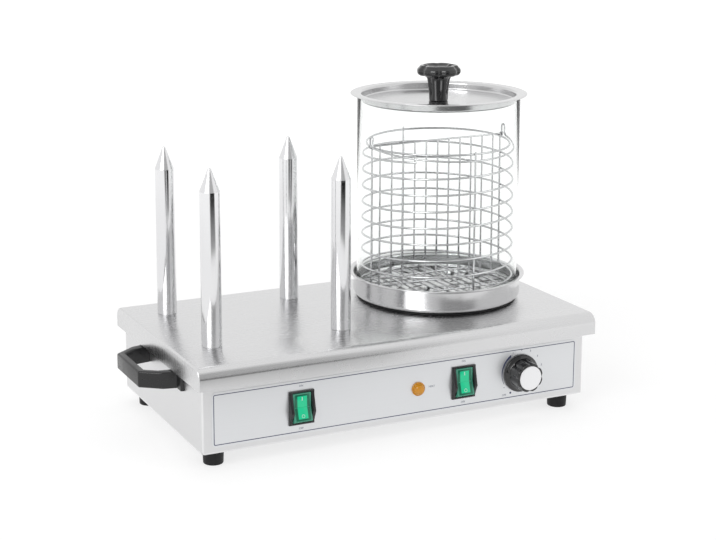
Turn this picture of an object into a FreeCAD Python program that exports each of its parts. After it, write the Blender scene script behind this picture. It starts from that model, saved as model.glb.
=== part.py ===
import FreeCAD, Part
import math
import os
import Sketcher
from FreeCAD import Placement, Rotation, Vector

# Hot dog toaster: four heated spikes for the rolls and a steaming glass for the sausages.
# Millimetres.  X runs to the right along the control panel, Y to the back, Z up.  Every piece is
# drawn about the middle of the casing and then moved back, so that the origin lies on the table
# under the middle of the whole object.

document = FreeCAD.newDocument("HotDogToaster")

# Driving dimensions

SIZES = [
    # casing, cover and base
    ("casing_width", 496),
    ("casing_depth", 262),
    ("casing_bottom", 19),
    ("casing_flange", 32),
    ("casing_fold", 9.3),
    ("casing_lip", 22),
    ("sheet", 1.2),
    ("cover_top", 121.5),
    ("cover_skirt", 25),
    ("cover_width", 513),
    ("cover_front", 144.5),
    ("cover_back", 137),
    ("cover_bullnose", 13),
    ("pan_opening", 160),
    ("rear_reach", 143),
    ("knob_reach", 23.7),
    ("vent_length", 60),
    ("vent_width", 5),
    ("vent_pitch", 14),
    # control panel, heights above the table
    ("panel_left", 237),
    ("panel_right", 238),
    ("panel_low", 25.5),
    ("panel_high", 89),
    ("panel_corner", 6),
    ("panel_foil", 0.4),
    ("control_height", 57),
    ("switch_left_x", -129),
    ("switch_right_x", 80.6),
    ("switch_width", 31),
    ("switch_tall", 39.3),
    ("switch_flange", 2),
    ("switch_body_width", 27.5),
    ("switch_body_tall", 37.2),
    ("switch_body_depth", 22),
    ("rocker_width", 22.6),
    ("rocker_slot", 23.2),
    ("rocker_half", 16),
    ("rocker_swing", 10),
    ("rocker_pivot_depth", 4),
    ("guard_depth", 6),
    ("trunnion", 3),
    ("trunnion_gap", 0.05),
    ("lamp_x", 20.4),
    ("lamp_diameter", 16.5),
    ("lamp_neck", 12),
    ("bush", 9.6),
    ("thermostat_x", 159.2),
    ("thermostat_size", 38),
    ("thermostat_depth", 26),
    ("shaft_diameter", 6),
    ("shaft_gap", 0.05),
    ("knob_skirt", 46),
    ("knob_grip", 36.5),
    ("knob_cap", 29.5),
    ("knob_lift", 0.6),
    ("knob_skirt_high", 5),
    ("cap_thick", 1.5),
    # feet and handles
    ("foot_x", 227),
    ("foot_y", 109),
    ("foot_top", 24.5),
    ("foot_bottom", 23),
    ("foot_taper", 4),
    ("handle_y", -6),
    ("handle_low", 76),
    ("handle_high", 95.5),
    ("handle_reach", 43),
    ("handle_shoulder", 22),
    ("handle_grip", 74.8),
    ("handle_middle", 106),
    ("handle_root", 112),
    ("handle_pads", 142),
    ("handle_pad", 4),
    ("handle_thick", 9),
    # spikes
    ("spike_left_x", -210),
    ("spike_right_x", -48),
    ("spike_front_y", -66.5),
    ("spike_back_y", 81.5),
    ("spike_diameter", 23.2),
    ("spike_shoulder", 300.5),
    ("spike_tip", 326.5),
    ("spike_nose", 2.2),
    ("spigot_diameter", 16),
    ("spigot_low", 106),
    ("heater_diameter", 12),
    ("heater_stub", 6),
    ("nut_across", 24),
    ("nut_height", 6),
    # steaming glass and its pan
    ("glass_x", 126.5),
    ("glass_y", 17.5),
    ("glass_diameter", 200),
    ("glass_wall", 3),
    ("glass_low", 137),
    ("glass_height", 240),
    ("gasket_height", 2),
    ("pan_sheet", 1),
    ("pan_radius", 104),
    ("pan_rim", 109.5),
    ("pan_high", 153.5),
    ("pan_edge", 4),
    ("pan_heater", 140),
    ("pan_heater_height", 6),
    ("stud_diameter", 6),
    ("sieve_radius", 101.5),
    ("sieve_foot", 97),
    ("sieve_sheet", 1),
    ("sieve_slots", 20),
    ("lid_rim", 108.5),
    ("lid_sheet", 1),
    ("lid_plug", 95.5),
    ("lid_depth", 10),
    ("lid_knob_head", 54),
    ("lid_knob_height", 44),
    ("lid_knob_head_height", 14),
    ("lid_stem_top", 27.5),
    ("lid_stem_foot", 23.5),
    # basket
    ("wire", 2.2),
    ("wire_section", 3.1),
    ("spiral_radius", 93),
    ("spiral_pitch", 20),
    ("spiral_turns", 8.25),
    ("spiral_start", 135),
    ("spiral_low", 141.3),
    ("ring_high", 315),
    ("divider_pitch", 16),
    ("divider_wires", 11),
    ("base_pitch", 22),
    ("base_wires", 7),
    ("upright_tip", 318),
    ("pin_reach", 96),
    ("eye_gap", 0.1),
    ("eye_wall", 2.2),
    ("bail_radius", 93.8),
    ("bail_droop", 5.8),
    ("bail_bend", 2.8),
    ("ear_height", 13),
    ("ear_width", 7),
]

sheet = document.addObject("Spreadsheet::Sheet", "Sizes")
for row, (alias, number) in enumerate(SIZES, start=1):
    sheet.set("A%d" % row, alias)
    sheet.set("B%d" % row, str(number))
    sheet.setAlias("B%d" % row, alias)
document.recompute()


class Size:
    """A length that knows its value and the spreadsheet formula that gives it."""

    def __init__(self, value, formula):
        self.value = float(value)
        self.formula = formula

    def combine(self, other, sign, value, swap=False):
        left, right = (other, self) if swap else (self, other)
        return Size(value, "(%s %s %s)" % (left.formula, sign, right.formula))

    def __add__(self, other):
        other = size(other)
        return self.combine(other, "+", self.value + other.value)

    def __radd__(self, other):
        return self + other

    def __sub__(self, other):
        other = size(other)
        return self.combine(other, "-", self.value - other.value)

    def __rsub__(self, other):
        return size(other) - self

    def __mul__(self, other):
        other = size(other)
        return self.combine(other, "*", self.value * other.value)

    def __rmul__(self, other):
        return self * other

    def __truediv__(self, other):
        other = size(other)
        return self.combine(other, "/", self.value / other.value)

    def __neg__(self):
        return Size(-self.value, "(-1 * %s)" % self.formula)

    def root(self):
        return Size(math.sqrt(self.value), "sqrt(%s)" % self.formula)


def size(item):
    """Turn a number, or the name of a cell, into a Size."""
    if isinstance(item, Size):
        return item
    if isinstance(item, str):
        return Size(sheet.get(item), "Sizes.%s" % item)
    return Size(item, repr(float(item)))


# Lengths that several pieces share

panel_face = -size("casing_depth") / 2
foil_face = panel_face - size("panel_foil")
cover_under = size("cover_top") - size("sheet")
skirt_low = size("cover_top") - size("cover_skirt")
floor_top = size("casing_bottom") + size("sheet")
plate_top = floor_top + size("sheet")
inner_half_width = size("casing_width") / 2 - size("sheet")
inner_half_depth = size("casing_depth") / 2 - size("sheet")
pan_low = size("cover_top") + size("gasket_height")
pan_floor = pan_low + size("pan_sheet")
heater_low = pan_low - size("pan_heater_height")
glass_top = size("glass_low") + size("glass_height")
lid_top = glass_top + size("lid_sheet")
lid_floor = glass_top - size("lid_depth")
lid_seat = lid_floor + size("lid_sheet")
wire_half = size("wire") / 2
SPIRAL_GAP = 0.8
upright_radius = size("spiral_radius") - size("wire_section") / 2 - wire_half - SPIRAL_GAP
ring_outside = upright_radius - wire_half
ring_inside = ring_outside - size("wire")
bar_high = size("ring_high") + size("wire")
base_low = size("glass_low") + size("wire")
divider_low = base_low + size("wire")
origin_shift = (size("knob_reach") + size("casing_depth") / 2 - size("rear_reach")) / 2

parts = []


# Helpers

def keep(piece, label, x=0, y=0, z=0, turn=None):
    """Name a sub-part, put it in its place and list it for export."""
    piece.Label = label
    if turn is not None:
        piece.Placement = Placement(Vector(), turn)
    place = (size(x), size(y) + origin_shift, size(z))
    for axis, length in zip("xyz", place):
        piece.setExpression("Placement.Base.%s" % axis, length.formula)
    parts.append(piece)
    return piece


def new_body(name):
    return document.addObject("PartDesign::Body", name)


def plane_of(body, role):
    """The origin plane or axis of a body that has this role."""
    for feature in body.Origin.OriginFeatures:
        if feature.Role == role:
            return feature


def new_sketch(body, role, name, height=0):
    """A sketch on one of the body's own planes, lifted along its normal."""
    sketch = body.newObject("Sketcher::SketchObject", name)
    sketch.AttachmentSupport = (plane_of(body, role), [""])
    sketch.MapMode = "FlatFace"
    height = size(height)
    sketch.AttachmentOffset.Base.z = height.value
    sketch.setExpression("AttachmentOffset.Base.z", height.formula)
    return sketch


def fix_point(sketch, edge, end, x, y):
    """Hold one end of an edge at a place given by two sizes."""
    for kind, length in (("DistanceX", size(x)), ("DistanceY", size(y))):
        number = sketch.addConstraint(Sketcher.Constraint(kind, edge, end, length.value))
        sketch.setExpression("Constraints[%d]" % number, length.formula)


def draw(sketch, path):
    """Close a path of corners.  (x, y) is a straight run to that corner.

    (x, y, cx, cy) is an arc of under half a circle to that corner about (cx, cy).
    """
    path = [tuple(size(part) for part in corner) for corner in path]
    first = len(sketch.Geometry)
    count = len(path)
    heads = []
    tails = []
    for index, corner in enumerate(path):
        start = path[index - 1]
        a = Vector(start[0].value, start[1].value, 0)
        b = Vector(corner[0].value, corner[1].value, 0)
        if len(corner) == 2:
            sketch.addGeometry(Part.LineSegment(a, b), False)
            heads.append(1)
            tails.append(2)
            continue
        centre = Vector(corner[2].value, corner[3].value, 0)
        left_turn = (a - centre).cross(b - centre).z > 0
        low, high = (a, b) if left_turn else (b, a)
        angles = [math.atan2(p.y - centre.y, p.x - centre.x) for p in (low, high)]
        circle = Part.Circle(centre, Vector(0, 0, 1), (low - centre).Length)
        sketch.addGeometry(Part.ArcOfCircle(circle, angles[0], angles[1]), False)
        heads.append(1 if left_turn else 2)
        tails.append(2 if left_turn else 1)
    for index, corner in enumerate(path):
        following = (index + 1) % count
        sketch.addConstraint(Sketcher.Constraint(
            "Coincident", first + index, tails[index], first + following, heads[following]))
        fix_point(sketch, first + index, tails[index], corner[0], corner[1])
        if len(corner) == 4:
            start = path[index - 1]
            wide = abs(corner[0].value - start[0].value) > abs(corner[1].value - start[1].value)
            kind, length = ("DistanceY", corner[3]) if wide else ("DistanceX", corner[2])
            number = sketch.addConstraint(
                Sketcher.Constraint(kind, first + index, 3, length.value))
            sketch.setExpression("Constraints[%d]" % number, length.formula)
    return sketch


def draw_box(sketch, left, right, low, high):
    return draw(sketch, [(left, low), (right, low), (right, high), (left, high)])


def draw_round_box(sketch, left, right, low, high, corner):
    """A rectangle with rounded corners."""
    left, right, low, high, corner = (size(s) for s in (left, right, low, high, corner))
    return draw(sketch, [
        (right - corner, low),
        (right, low + corner, right - corner, low + corner),
        (right, high - corner),
        (right - corner, high, right - corner, high - corner),
        (left + corner, high),
        (left, high - corner, left + corner, high - corner),
        (left, low + corner),
        (left + corner, low, left + corner, low + corner),
    ])


def draw_many_sided(sketch, x, y, across, sides):
    """A regular figure of so many sides about a point; across is from flat to flat."""
    x, y, across = size(x), size(y), size(across)
    corner = across / (2 * math.cos(math.pi / sides))
    turns = [math.pi * (2 * i + 1) / sides for i in range(sides)]
    return draw(sketch, [(x + corner * math.cos(t), y + corner * math.sin(t)) for t in turns])


def draw_circle(sketch, x, y, diameter):
    radius = size(diameter) / 2
    x, y = size(x), size(y)
    circle = Part.Circle(Vector(x.value, y.value, 0), Vector(0, 0, 1), radius.value)
    number = sketch.addGeometry(circle, False)
    fix_point(sketch, number, 3, x, y)
    held = sketch.addConstraint(Sketcher.Constraint("Radius", number, radius.value))
    sketch.setExpression("Constraints[%d]" % held, radius.formula)
    return sketch


def pad(body, sketch, length, name, reverse=False, middle=False, lean=0):
    """Raise the sketch; with a lean, in degrees, the sides close in as they rise."""
    feature = body.newObject("PartDesign::Pad", name)
    feature.Profile = sketch
    feature.Reversed = reverse
    feature.TaperAngle = -lean
    if middle:
        feature.Midplane = True
    length = size(length)
    feature.Length = length.value
    feature.setExpression("Length", length.formula)
    return feature


def pocket(body, sketch, length, name, reverse=False, middle=False):
    """Cut away from the sketch, and make sure that something was cut."""
    document.recompute()
    before = body.Shape.Volume
    feature = body.newObject("PartDesign::Pocket", name)
    feature.Profile = sketch
    feature.Reversed = reverse
    if middle:
        feature.Midplane = True
    length = size(length)
    feature.Length = length.value
    feature.setExpression("Length", length.formula)
    document.recompute()
    if not body.Shape.Volume < before - 1e-6:
        raise RuntimeError("%s cuts nothing" % name)
    return feature


def polar(body, feature, count, role="Z_Axis", name="Round"):
    pattern = body.newObject("PartDesign::PolarPattern", name)
    pattern.Originals = [feature]
    pattern.Axis = (plane_of(body, role), [""])
    pattern.Angle = 360
    pattern.Occurrences = int(size(count).value)
    if isinstance(count, str):
        pattern.setExpression("Occurrences", "Sizes.%s" % count)
    body.Tip = pattern
    document.recompute()
    return pattern


def edges_where(shape, test):
    """Names of the edges of a shape that pass a test."""
    return ["Edge%d" % (i + 1) for i, edge in enumerate(shape.Edges) if test(edge)]


def dress(body, kind, test, amount, name, second=None):
    """Fillet or chamfer the edges of the body that pass a test.

    A second size makes the chamfer steeper on one of its two sides.
    """
    document.recompute()
    base = body.Tip
    names = edges_where(base.Shape, test)
    feature = body.newObject("PartDesign::" + kind, name)
    feature.Base = (base, names)
    amount = size(amount)
    prop = "Radius" if kind == "Fillet" else "Size"
    setattr(feature, prop, amount.value)
    feature.setExpression(prop, amount.formula)
    if second is not None:
        second = size(second)
        feature.ChamferType = "Two distances"
        feature.Size2 = second.value
        feature.setExpression("Size2", second.formula)
    document.recompute()
    return feature


def level_at(*heights):
    """A test for edges that lie level at one of these heights."""
    def test(edge):
        return any(all(abs(v.Point.z - size(height).value) < 1e-4 for v in edge.Vertexes)
                   for height in heights)
    return test


def not_level_at(height):
    """A test for all edges but those that lie level at this height."""
    return lambda edge: not level_at(height)(edge)


def copies(shape, places):
    """The same solid, set down at several places, as one group."""
    group = []
    for x, y, z in places:
        one = shape.copy()
        one.translate(Vector(x, y, z))
        group.append(one)
    return Part.makeCompound(group)


def group_of(name, body, places):
    """A node of separate equal solids: the body is drawn once and set down at each place."""
    document.recompute()
    group = document.addObject("Part::Feature", name)
    group.Shape = copies(body.Shape, [tuple(size(p).value for p in place) for place in places])
    return group


# Casing: one folded sheet with a return flange round its foot and a folded lip round its top

SCREW_SIDES = 6
BORE_SIDES = 12
RING_SIDES = 24
PLATE_SIDES = 36
ROUND_SIDES = 48
CONTROL_GAP = 0.2
SCREW_HOLE = 4.5
SCREW_GAP = 0.6
GLAND_X = 200
GLAND_HEIGHT = 45
GLAND_THREAD = 16
half_width = size("casing_width") / 2
half_depth = size("casing_depth") / 2
handle_screw_reach = (size("handle_root") + size("handle_pads")) / 4
handle_middle_height = (size("handle_low") + size("handle_high")) / 2


def cut_outs(sketch):
    """The openings that the controls need, in the casing's front and in its foil."""
    half_wide = size("switch_body_width") / 2 + CONTROL_GAP
    half_tall = size("switch_body_tall") / 2 + CONTROL_GAP
    for name in ("switch_left_x", "switch_right_x"):
        middle = size(name)
        draw_box(sketch, middle - half_wide, middle + half_wide,
                 size("control_height") - half_tall, size("control_height") + half_tall)
    for name, neck in (("lamp_x", "lamp_neck"), ("thermostat_x", "bush")):
        draw_many_sided(sketch, name, "control_height", size(neck) + CONTROL_GAP * 2, BORE_SIDES)
    return sketch


def casing_form(name, inset):
    """The casing's outer form, or the same form drawn in by a sheet's thickness."""
    inset = size(inset)
    body = new_body(name)
    outline = draw_box(new_sketch(body, "XY_Plane", name + "Outline", size("casing_bottom") + inset),
                       inset - half_width, half_width - inset, inset - half_depth, half_depth - inset)
    pad(body, outline, cover_under - size("casing_bottom") - inset * 2, name + "Block")
    dress(body, "Chamfer", level_at(cover_under - inset),
          size("casing_fold") - inset * (2 - math.sqrt(2)), name + "Fold")
    return body


casing_outside = casing_form("CasingOutside", 0)
hollow = casing_form("CasingInside", "sheet")
shell = document.addObject("Part::Cut", "CasingShell")
shell.Base = casing_outside
shell.Tool = hollow
openings = new_body("CasingOpenings")
foot_places = [(size("foot_x") * a, size("foot_y") * b, 0) for a in (-1, 1) for b in (-1, 1)]
window = new_sketch(openings, "XY_Plane", "CasingWindow", size("casing_bottom") - 1)
draw_box(window, size("casing_flange") - half_width, half_width - size("casing_flange"),
         size("casing_flange") - half_depth, half_depth - size("casing_flange"))
for x, y, z in foot_places:
    draw_many_sided(window, x, y, SCREW_HOLE + SCREW_GAP, SCREW_SIDES)
pad(openings, window, size("sheet") + 2, "CasingFootOpening")
mouth = draw_box(new_sketch(openings, "XY_Plane", "CasingMouth", cover_under - size("sheet") - 1),
                 size("casing_lip") - half_width, half_width - size("casing_lip"),
                 size("casing_lip") - half_depth, half_depth - size("casing_lip"))
pad(openings, mouth, size("sheet") + 2, "CasingTopOpening")
front_holes = cut_outs(new_sketch(openings, "XZ_Plane", "CasingFront", half_depth + 1))
pad(openings, front_holes, size("sheet") + 2, "CasingControls", reverse=True)
rear_hole = draw_many_sided(new_sketch(openings, "XZ_Plane", "CasingRear", -half_depth - 1),
                            GLAND_X, GLAND_HEIGHT, GLAND_THREAD + CONTROL_GAP * 2, BORE_SIDES)
pad(openings, rear_hole, size("sheet") + 2, "CasingGland")
side_holes = new_sketch(openings, "YZ_Plane", "CasingSides")
for side in (-1, 1):
    draw_many_sided(side_holes, size("handle_y") + handle_screw_reach * side,
                    handle_middle_height, SCREW_HOLE + SCREW_GAP, SCREW_SIDES)
pad(openings, side_holes, size("casing_width") + 2, "CasingHandles", middle=True)
casing = document.addObject("Part::Cut", "Casing")
casing.Base = shell
casing.Tool = openings
keep(casing, "casing")

# Base plate: lies on the return flange, with two rows of air slots

BASE_GAP = 0.3
base_plate = new_body("BasePlate")
outline = draw_box(new_sketch(base_plate, "XY_Plane", "BaseOutline", floor_top),
                   BASE_GAP - inner_half_width, inner_half_width - BASE_GAP,
                   BASE_GAP - inner_half_depth, inner_half_depth - BASE_GAP)
for x, y, z in foot_places:
    draw_many_sided(outline, x, y, SCREW_HOLE + SCREW_GAP, SCREW_SIDES)
VENT_ROWS = (-45, 45)
VENTS = 8
for row in VENT_ROWS:
    for place in range(VENTS):
        left = size("vent_pitch") * (place - VENTS / 2) + size("vent_pitch") / 2
        draw_box(outline, left - size("vent_width") / 2, left + size("vent_width") / 2,
                 row - size("vent_length") / 2, row + size("vent_length") / 2)
pad(base_plate, outline, "sheet", "BaseSheet")
keep(base_plate, "base_plate")

# Top cover: a pressed lid with a bullnose edge and a deep skirt, seated on the casing's edge

cover_outside = new_body("CoverOutside")
cover_half = size("cover_width") / 2
outline = draw_box(new_sketch(cover_outside, "XY_Plane", "CoverOutline", skirt_low),
                   -cover_half, cover_half, -size("cover_front"), "cover_back")
pad(cover_outside, outline, "cover_skirt", "CoverBlock")
dress(cover_outside, "Fillet", not_level_at(skirt_low), "cover_bullnose", "CoverBullnose")


# The hollow under the cover: straight walls, then two flats that follow the bullnose

def corner_cut_box(sketch, inset, cut):
    """The cover's outline drawn in, with its corners cut off straight."""
    left, right = inset - cover_half, cover_half - inset
    front, back = inset - size("cover_front"), size("cover_back") - inset
    return draw(sketch, [
        (left + cut, front), (right - cut, front), (right, front + cut), (right, back - cut),
        (right - cut, back), (left + cut, back), (left, back - cut), (left, front + cut),
    ])


half_root = size(2).root() / 2
inner_nose = size("cover_bullnose") - size("sheet")
long_side = inner_nose * half_root
short_side = inner_nose - long_side
corner_cut = inner_nose * (2 - math.sqrt(2))
wall_top = size("cover_top") - size("cover_bullnose")
cover_hollow = new_body("CoverHollow")
for name, low, rise, inset, lean in (
        ("Wall", skirt_low, wall_top - skirt_low, size("sheet"), 0),
        ("Shoulder", wall_top, long_side, size("sheet"), 22.5),
        ("Crown", wall_top + long_side, short_side, size("sheet") + short_side, 67.5)):
    outline = corner_cut_box(new_sketch(cover_hollow, "XY_Plane", "Cover" + name, low), inset, corner_cut)
    pad(cover_hollow, outline, rise, "Cover" + name + "Block", lean=lean)

spike_places = {
    "spike_front_left": (size("spike_left_x"), size("spike_front_y")),
    "spike_rear_left": (size("spike_left_x"), size("spike_back_y")),
    "spike_front_right": (size("spike_right_x"), size("spike_front_y")),
    "spike_rear_right": (size("spike_right_x"), size("spike_back_y")),
}
holes = new_sketch(cover_outside, "XY_Plane", "CoverHoles", "cover_top")
for x, y in spike_places.values():
    draw_many_sided(holes, x, y, size("spigot_diameter") + CONTROL_GAP * 2, BORE_SIDES)
draw_circle(holes, "glass_x", "glass_y", "pan_opening")
pocket(cover_outside, holes, size("sheet") + 2, "CoverOpenings")
cover = document.addObject("Part::Cut", "TopCover")
cover.Base = cover_outside
cover.Tool = cover_hollow
keep(cover, "top_cover")

# Control panel foil

foil = new_body("PanelFoil")
outline = draw_round_box(new_sketch(foil, "XZ_Plane", "FoilOutline", half_depth),
                         -size("panel_left"), "panel_right", "panel_low", "panel_high",
                         "panel_corner")
cut_outs(outline)
pad(foil, outline, "panel_foil", "FoilSheet")
keep(foil, "panel_foil")

# Heated spikes: turned bars with a blunt cone, held by a nut under the cover

for name, (x, y) in spike_places.items():
    spike = new_body(name.title().replace("_", ""))
    bar = draw_many_sided(new_sketch(spike, "XY_Plane", name + "Bar", "cover_top"), 0, 0,
                          "spike_diameter", RING_SIDES)
    pad(spike, bar, size("spike_tip") - size("cover_top"), name + "BarBlock")
    dress(spike, "Chamfer", level_at("spike_tip"), size("spike_tip") - size("spike_shoulder"),
          name + "Nose", size("spike_diameter") / 2 - size("spike_nose"))
    spigot = draw_many_sided(new_sketch(spike, "XY_Plane", name + "Spigot", "spigot_low"), 0, 0,
                             "spigot_diameter", BORE_SIDES)
    pad(spike, spigot, size("cover_top") - size("spigot_low"), name + "SpigotBlock")
    keep(spike, name, x, y)

# Cartridge heaters: the bars are solid down to the stub that shows under each of them

heater = new_body("CartridgeHeater")
stub = draw_many_sided(new_sketch(heater, "XY_Plane", "HeaterStub",
                                  size("spigot_low") - size("heater_stub")), 0, 0,
                       "heater_diameter", BORE_SIDES)
pad(heater, stub, "heater_stub", "HeaterStubBlock")
spike_spots = [(x, y, 0) for x, y in spike_places.values()]
keep(group_of("CartridgeHeaters", heater, spike_spots), "spike_heaters")


def hex_nut(name, low, height, across, bore):
    """A six-sided nut; its bore is cut with twelve flats."""
    nut = new_body(name)
    outline = draw_many_sided(new_sketch(nut, "XY_Plane", name + "Outline", low), 0, 0, across, 6)
    draw_many_sided(outline, 0, 0, bore, BORE_SIDES)
    pad(nut, outline, height, name + "Block")
    return nut


spike_nut = hex_nut("SpikeNut", cover_under - size("nut_height"), "nut_height", "nut_across",
                    "spigot_diameter")
keep(group_of("SpikeNuts", spike_nut, spike_spots), "spike_nuts")

# Water pan: a flanged steel pan with a welded stud, on a dark gasket over the cover's opening

CLAMP_THICK = 2
RIM_THICK = 1.2
STUD_TAIL = 8
pan_wall = size("pan_radius")


def pan_form(name, low, radius, bevel):
    """The pan's outer form, or the form of the room inside it, up to the rim."""
    body = new_body(name)
    outline = draw_many_sided(new_sketch(body, "XY_Plane", name + "Outline", low), 0, 0, radius * 2,
                              ROUND_SIDES)
    pad(body, outline, size("pan_high") - low, name + "Block")
    dress(body, "Chamfer", level_at(low), bevel, name + "Edge")
    return body


pan_outside = pan_form("PanOutside", pan_low, pan_wall, "pan_edge")
rim = draw_many_sided(new_sketch(pan_outside, "XY_Plane", "PanRim", size("pan_high") - RIM_THICK), 0, 0,
                      size("pan_rim") * 2, ROUND_SIDES)
pad(pan_outside, rim, RIM_THICK, "PanRimPlate")
stud = draw_many_sided(new_sketch(pan_outside, "XY_Plane", "PanStud", pan_low), 0, 0, "stud_diameter",
                       BORE_SIDES)
pad(pan_outside, stud, size("pan_heater_height") + CLAMP_THICK + STUD_TAIL, "PanStudRod", reverse=True)
pan = document.addObject("Part::Cut", "WaterPan")
pan.Base = pan_outside
pan.Tool = pan_form("PanInside", pan_floor, pan_wall - size("pan_sheet"),
                    size("pan_edge") - size("pan_sheet") * (2 - math.sqrt(2)))
keep(pan, "water_pan", "glass_x", "glass_y")


def flat_ring(name, low, height, inner, outer, sides=RING_SIDES):
    """A ring cut to many straight sides."""
    body = new_body(name)
    outline = draw_many_sided(new_sketch(body, "XY_Plane", name + "Outline", low), 0, 0, outer, sides)
    draw_many_sided(outline, 0, 0, inner, sides)
    pad(body, outline, height, name + "Block")
    return body


GASKET_INSET = 2
gasket = flat_ring("PanGasket", "cover_top", "gasket_height",
                   size("pan_opening") + GASKET_INSET * 2,
                   (pan_wall - size("pan_edge")) * 2 - GASKET_INSET / 2)
keep(gasket, "pan_gasket", "glass_x", "glass_y")
plate_heater = flat_ring("PanHeater", heater_low, "pan_heater_height", size("stud_diameter") * 4,
                         "pan_heater")
keep(plate_heater, "pan_heater", "glass_x", "glass_y")

# Clamp bar: bears on the cover beside the opening and draws the pan down by its stud

CLAMP_WIDTH = 24
CLAMP_BEND = 3
CLAMP_BEARING = 14
CLAMP_NUT_HEIGHT = 5
CLAMP_NUT_ACROSS = 10
clamp = new_body("HeaterClamp")
bend_in = size("pan_opening") / 2 - CLAMP_BEND
bend_out = size("pan_opening") / 2 + CLAMP_BEND
clamp_end = size("pan_opening") / 2 + CLAMP_BEARING
profile = draw(new_sketch(clamp, "XZ_Plane", "ClampProfile"), [
    (-clamp_end, cover_under - CLAMP_THICK),
    (-bend_out, cover_under - CLAMP_THICK),
    (-bend_in, heater_low - CLAMP_THICK),
    (bend_in, heater_low - CLAMP_THICK),
    (bend_out, cover_under - CLAMP_THICK),
    (clamp_end, cover_under - CLAMP_THICK),
    (clamp_end, cover_under),
    (bend_out - 1, cover_under),
    (bend_in - 1, heater_low),
    (1 - bend_in, heater_low),
    (1 - bend_out, cover_under),
    (-clamp_end, cover_under),
])
pad(clamp, profile, CLAMP_WIDTH, "ClampBar", middle=True)
clamp_hole = draw_many_sided(new_sketch(clamp, "XY_Plane", "ClampHole", heater_low), 0, 0,
                             size("stud_diameter") + CONTROL_GAP, BORE_SIDES)
pocket(clamp, clamp_hole, CLAMP_THICK + 1, "ClampBore")
keep(clamp, "heater_clamp", "glass_x", "glass_y")
clamp_nut = hex_nut("ClampNut", heater_low - CLAMP_THICK - CLAMP_NUT_HEIGHT, CLAMP_NUT_HEIGHT,
                    CLAMP_NUT_ACROSS, "stud_diameter")
keep(clamp_nut, "clamp_nut", "glass_x", "glass_y")

# Carrying handles: moulded bows with a finger gap against the casing, screwed on from inside

HANDLE_SCREW = 3.2
HANDLE_SCREW_BITE = 3
HANDLE_SCREW_HEAD = 2.4
HANDLE_HEAD_WIDE = 7
HANDLE_BEVEL = 1.4


def handle(name, side):
    body = new_body(name)
    thick = size("handle_thick")
    reach = size("handle_reach")
    shoulder = size("handle_shoulder")
    half = [(0, size("handle_pads") / 2), ("handle_pad", size("handle_pads") / 2 - 1.5),
            ("handle_pad", size("handle_root") / 2 + 1),
            (shoulder, size("handle_middle") / 2), (reach, size("handle_grip") / 2)]
    gap = [(reach - thick, size("handle_grip") / 2 - thick / 2),
           (shoulder - thick / 3, size("handle_middle") / 2 - thick),
           (0, size("handle_root") / 2 - thick)]
    lower = [(size(u) * side, -size(v)) for u, v in half]
    upper = [(size(u) * side, size(v)) for u, v in reversed(half)]
    inner = [(size(u) * side, size(v)) for u, v in reversed(gap)]
    back = [(size(u) * side, -size(v)) for u, v in gap]
    outline = draw(new_sketch(body, "XY_Plane", name + "Plan", "handle_low"),
                   lower + upper + inner + back)
    pad(body, outline, size("handle_high") - size("handle_low"), name + "Bow")
    levels = (size("handle_low").value, size("handle_high").value)
    pad_thick = size("handle_pad").value

    def outer_rim(edge):
        ends = [v.Point for v in edge.Vertexes]
        level = any(all(abs(p.z - z) < 1e-4 for p in ends) for z in levels)
        return level and all(abs(p.x) > pad_thick + 1e-4 for p in ends)

    dress(body, "Chamfer", outer_rim, HANDLE_BEVEL, name + "Bevel")
    holes = new_sketch(body, "YZ_Plane", name + "Holes")
    for end in (-1, 1):
        draw_many_sided(holes, handle_screw_reach * end, handle_middle_height, HANDLE_SCREW, SCREW_SIDES)
    pocket(body, holes, HANDLE_SCREW_BITE, name + "Bores", reverse=(side > 0))
    return body


for name, label, side in (("HandleLeft", "handle_left", -1), ("HandleRight", "handle_right", 1)):
    keep(handle(name, side), label, half_width * side, "handle_y")

# Handle screws: heads against the inside of the casing, shanks 3 mm into the handle

handle_screw = new_body("HandleScrew")
head = draw_many_sided(new_sketch(handle_screw, "XY_Plane", "HandleScrewHead"), 0, 0,
                       HANDLE_HEAD_WIDE, SCREW_SIDES)
pad(handle_screw, head, HANDLE_SCREW_HEAD, "HandleScrewBlock")
shank = draw_many_sided(new_sketch(handle_screw, "XY_Plane", "HandleScrewShank", HANDLE_SCREW_HEAD),
                        0, 0, HANDLE_SCREW - CONTROL_GAP, SCREW_SIDES)
pad(handle_screw, shank, size("sheet") + HANDLE_SCREW_BITE - CONTROL_GAP, "HandleScrewRod")
document.recompute()
screws = []
for side in (-1, 1):
    for end in (-1, 1):
        screw = handle_screw.Shape.copy()
        screw.Placement = Placement(
            Vector(side * (inner_half_width.value - HANDLE_SCREW_HEAD),
                   size("handle_y").value + handle_screw_reach.value * end,
                   handle_middle_height.value),
            Rotation(Vector(0, 0, 1), Vector(side, 0, 0)) * Rotation(Vector(0, 0, 1), 90))
        screws.append(screw)
handle_screws = document.addObject("Part::Feature", "HandleScrews")
handle_screws.Shape = Part.makeCompound(screws)
keep(handle_screws, "handle_screws")

# Feet: tapered rubber with a recess for the screw

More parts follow.
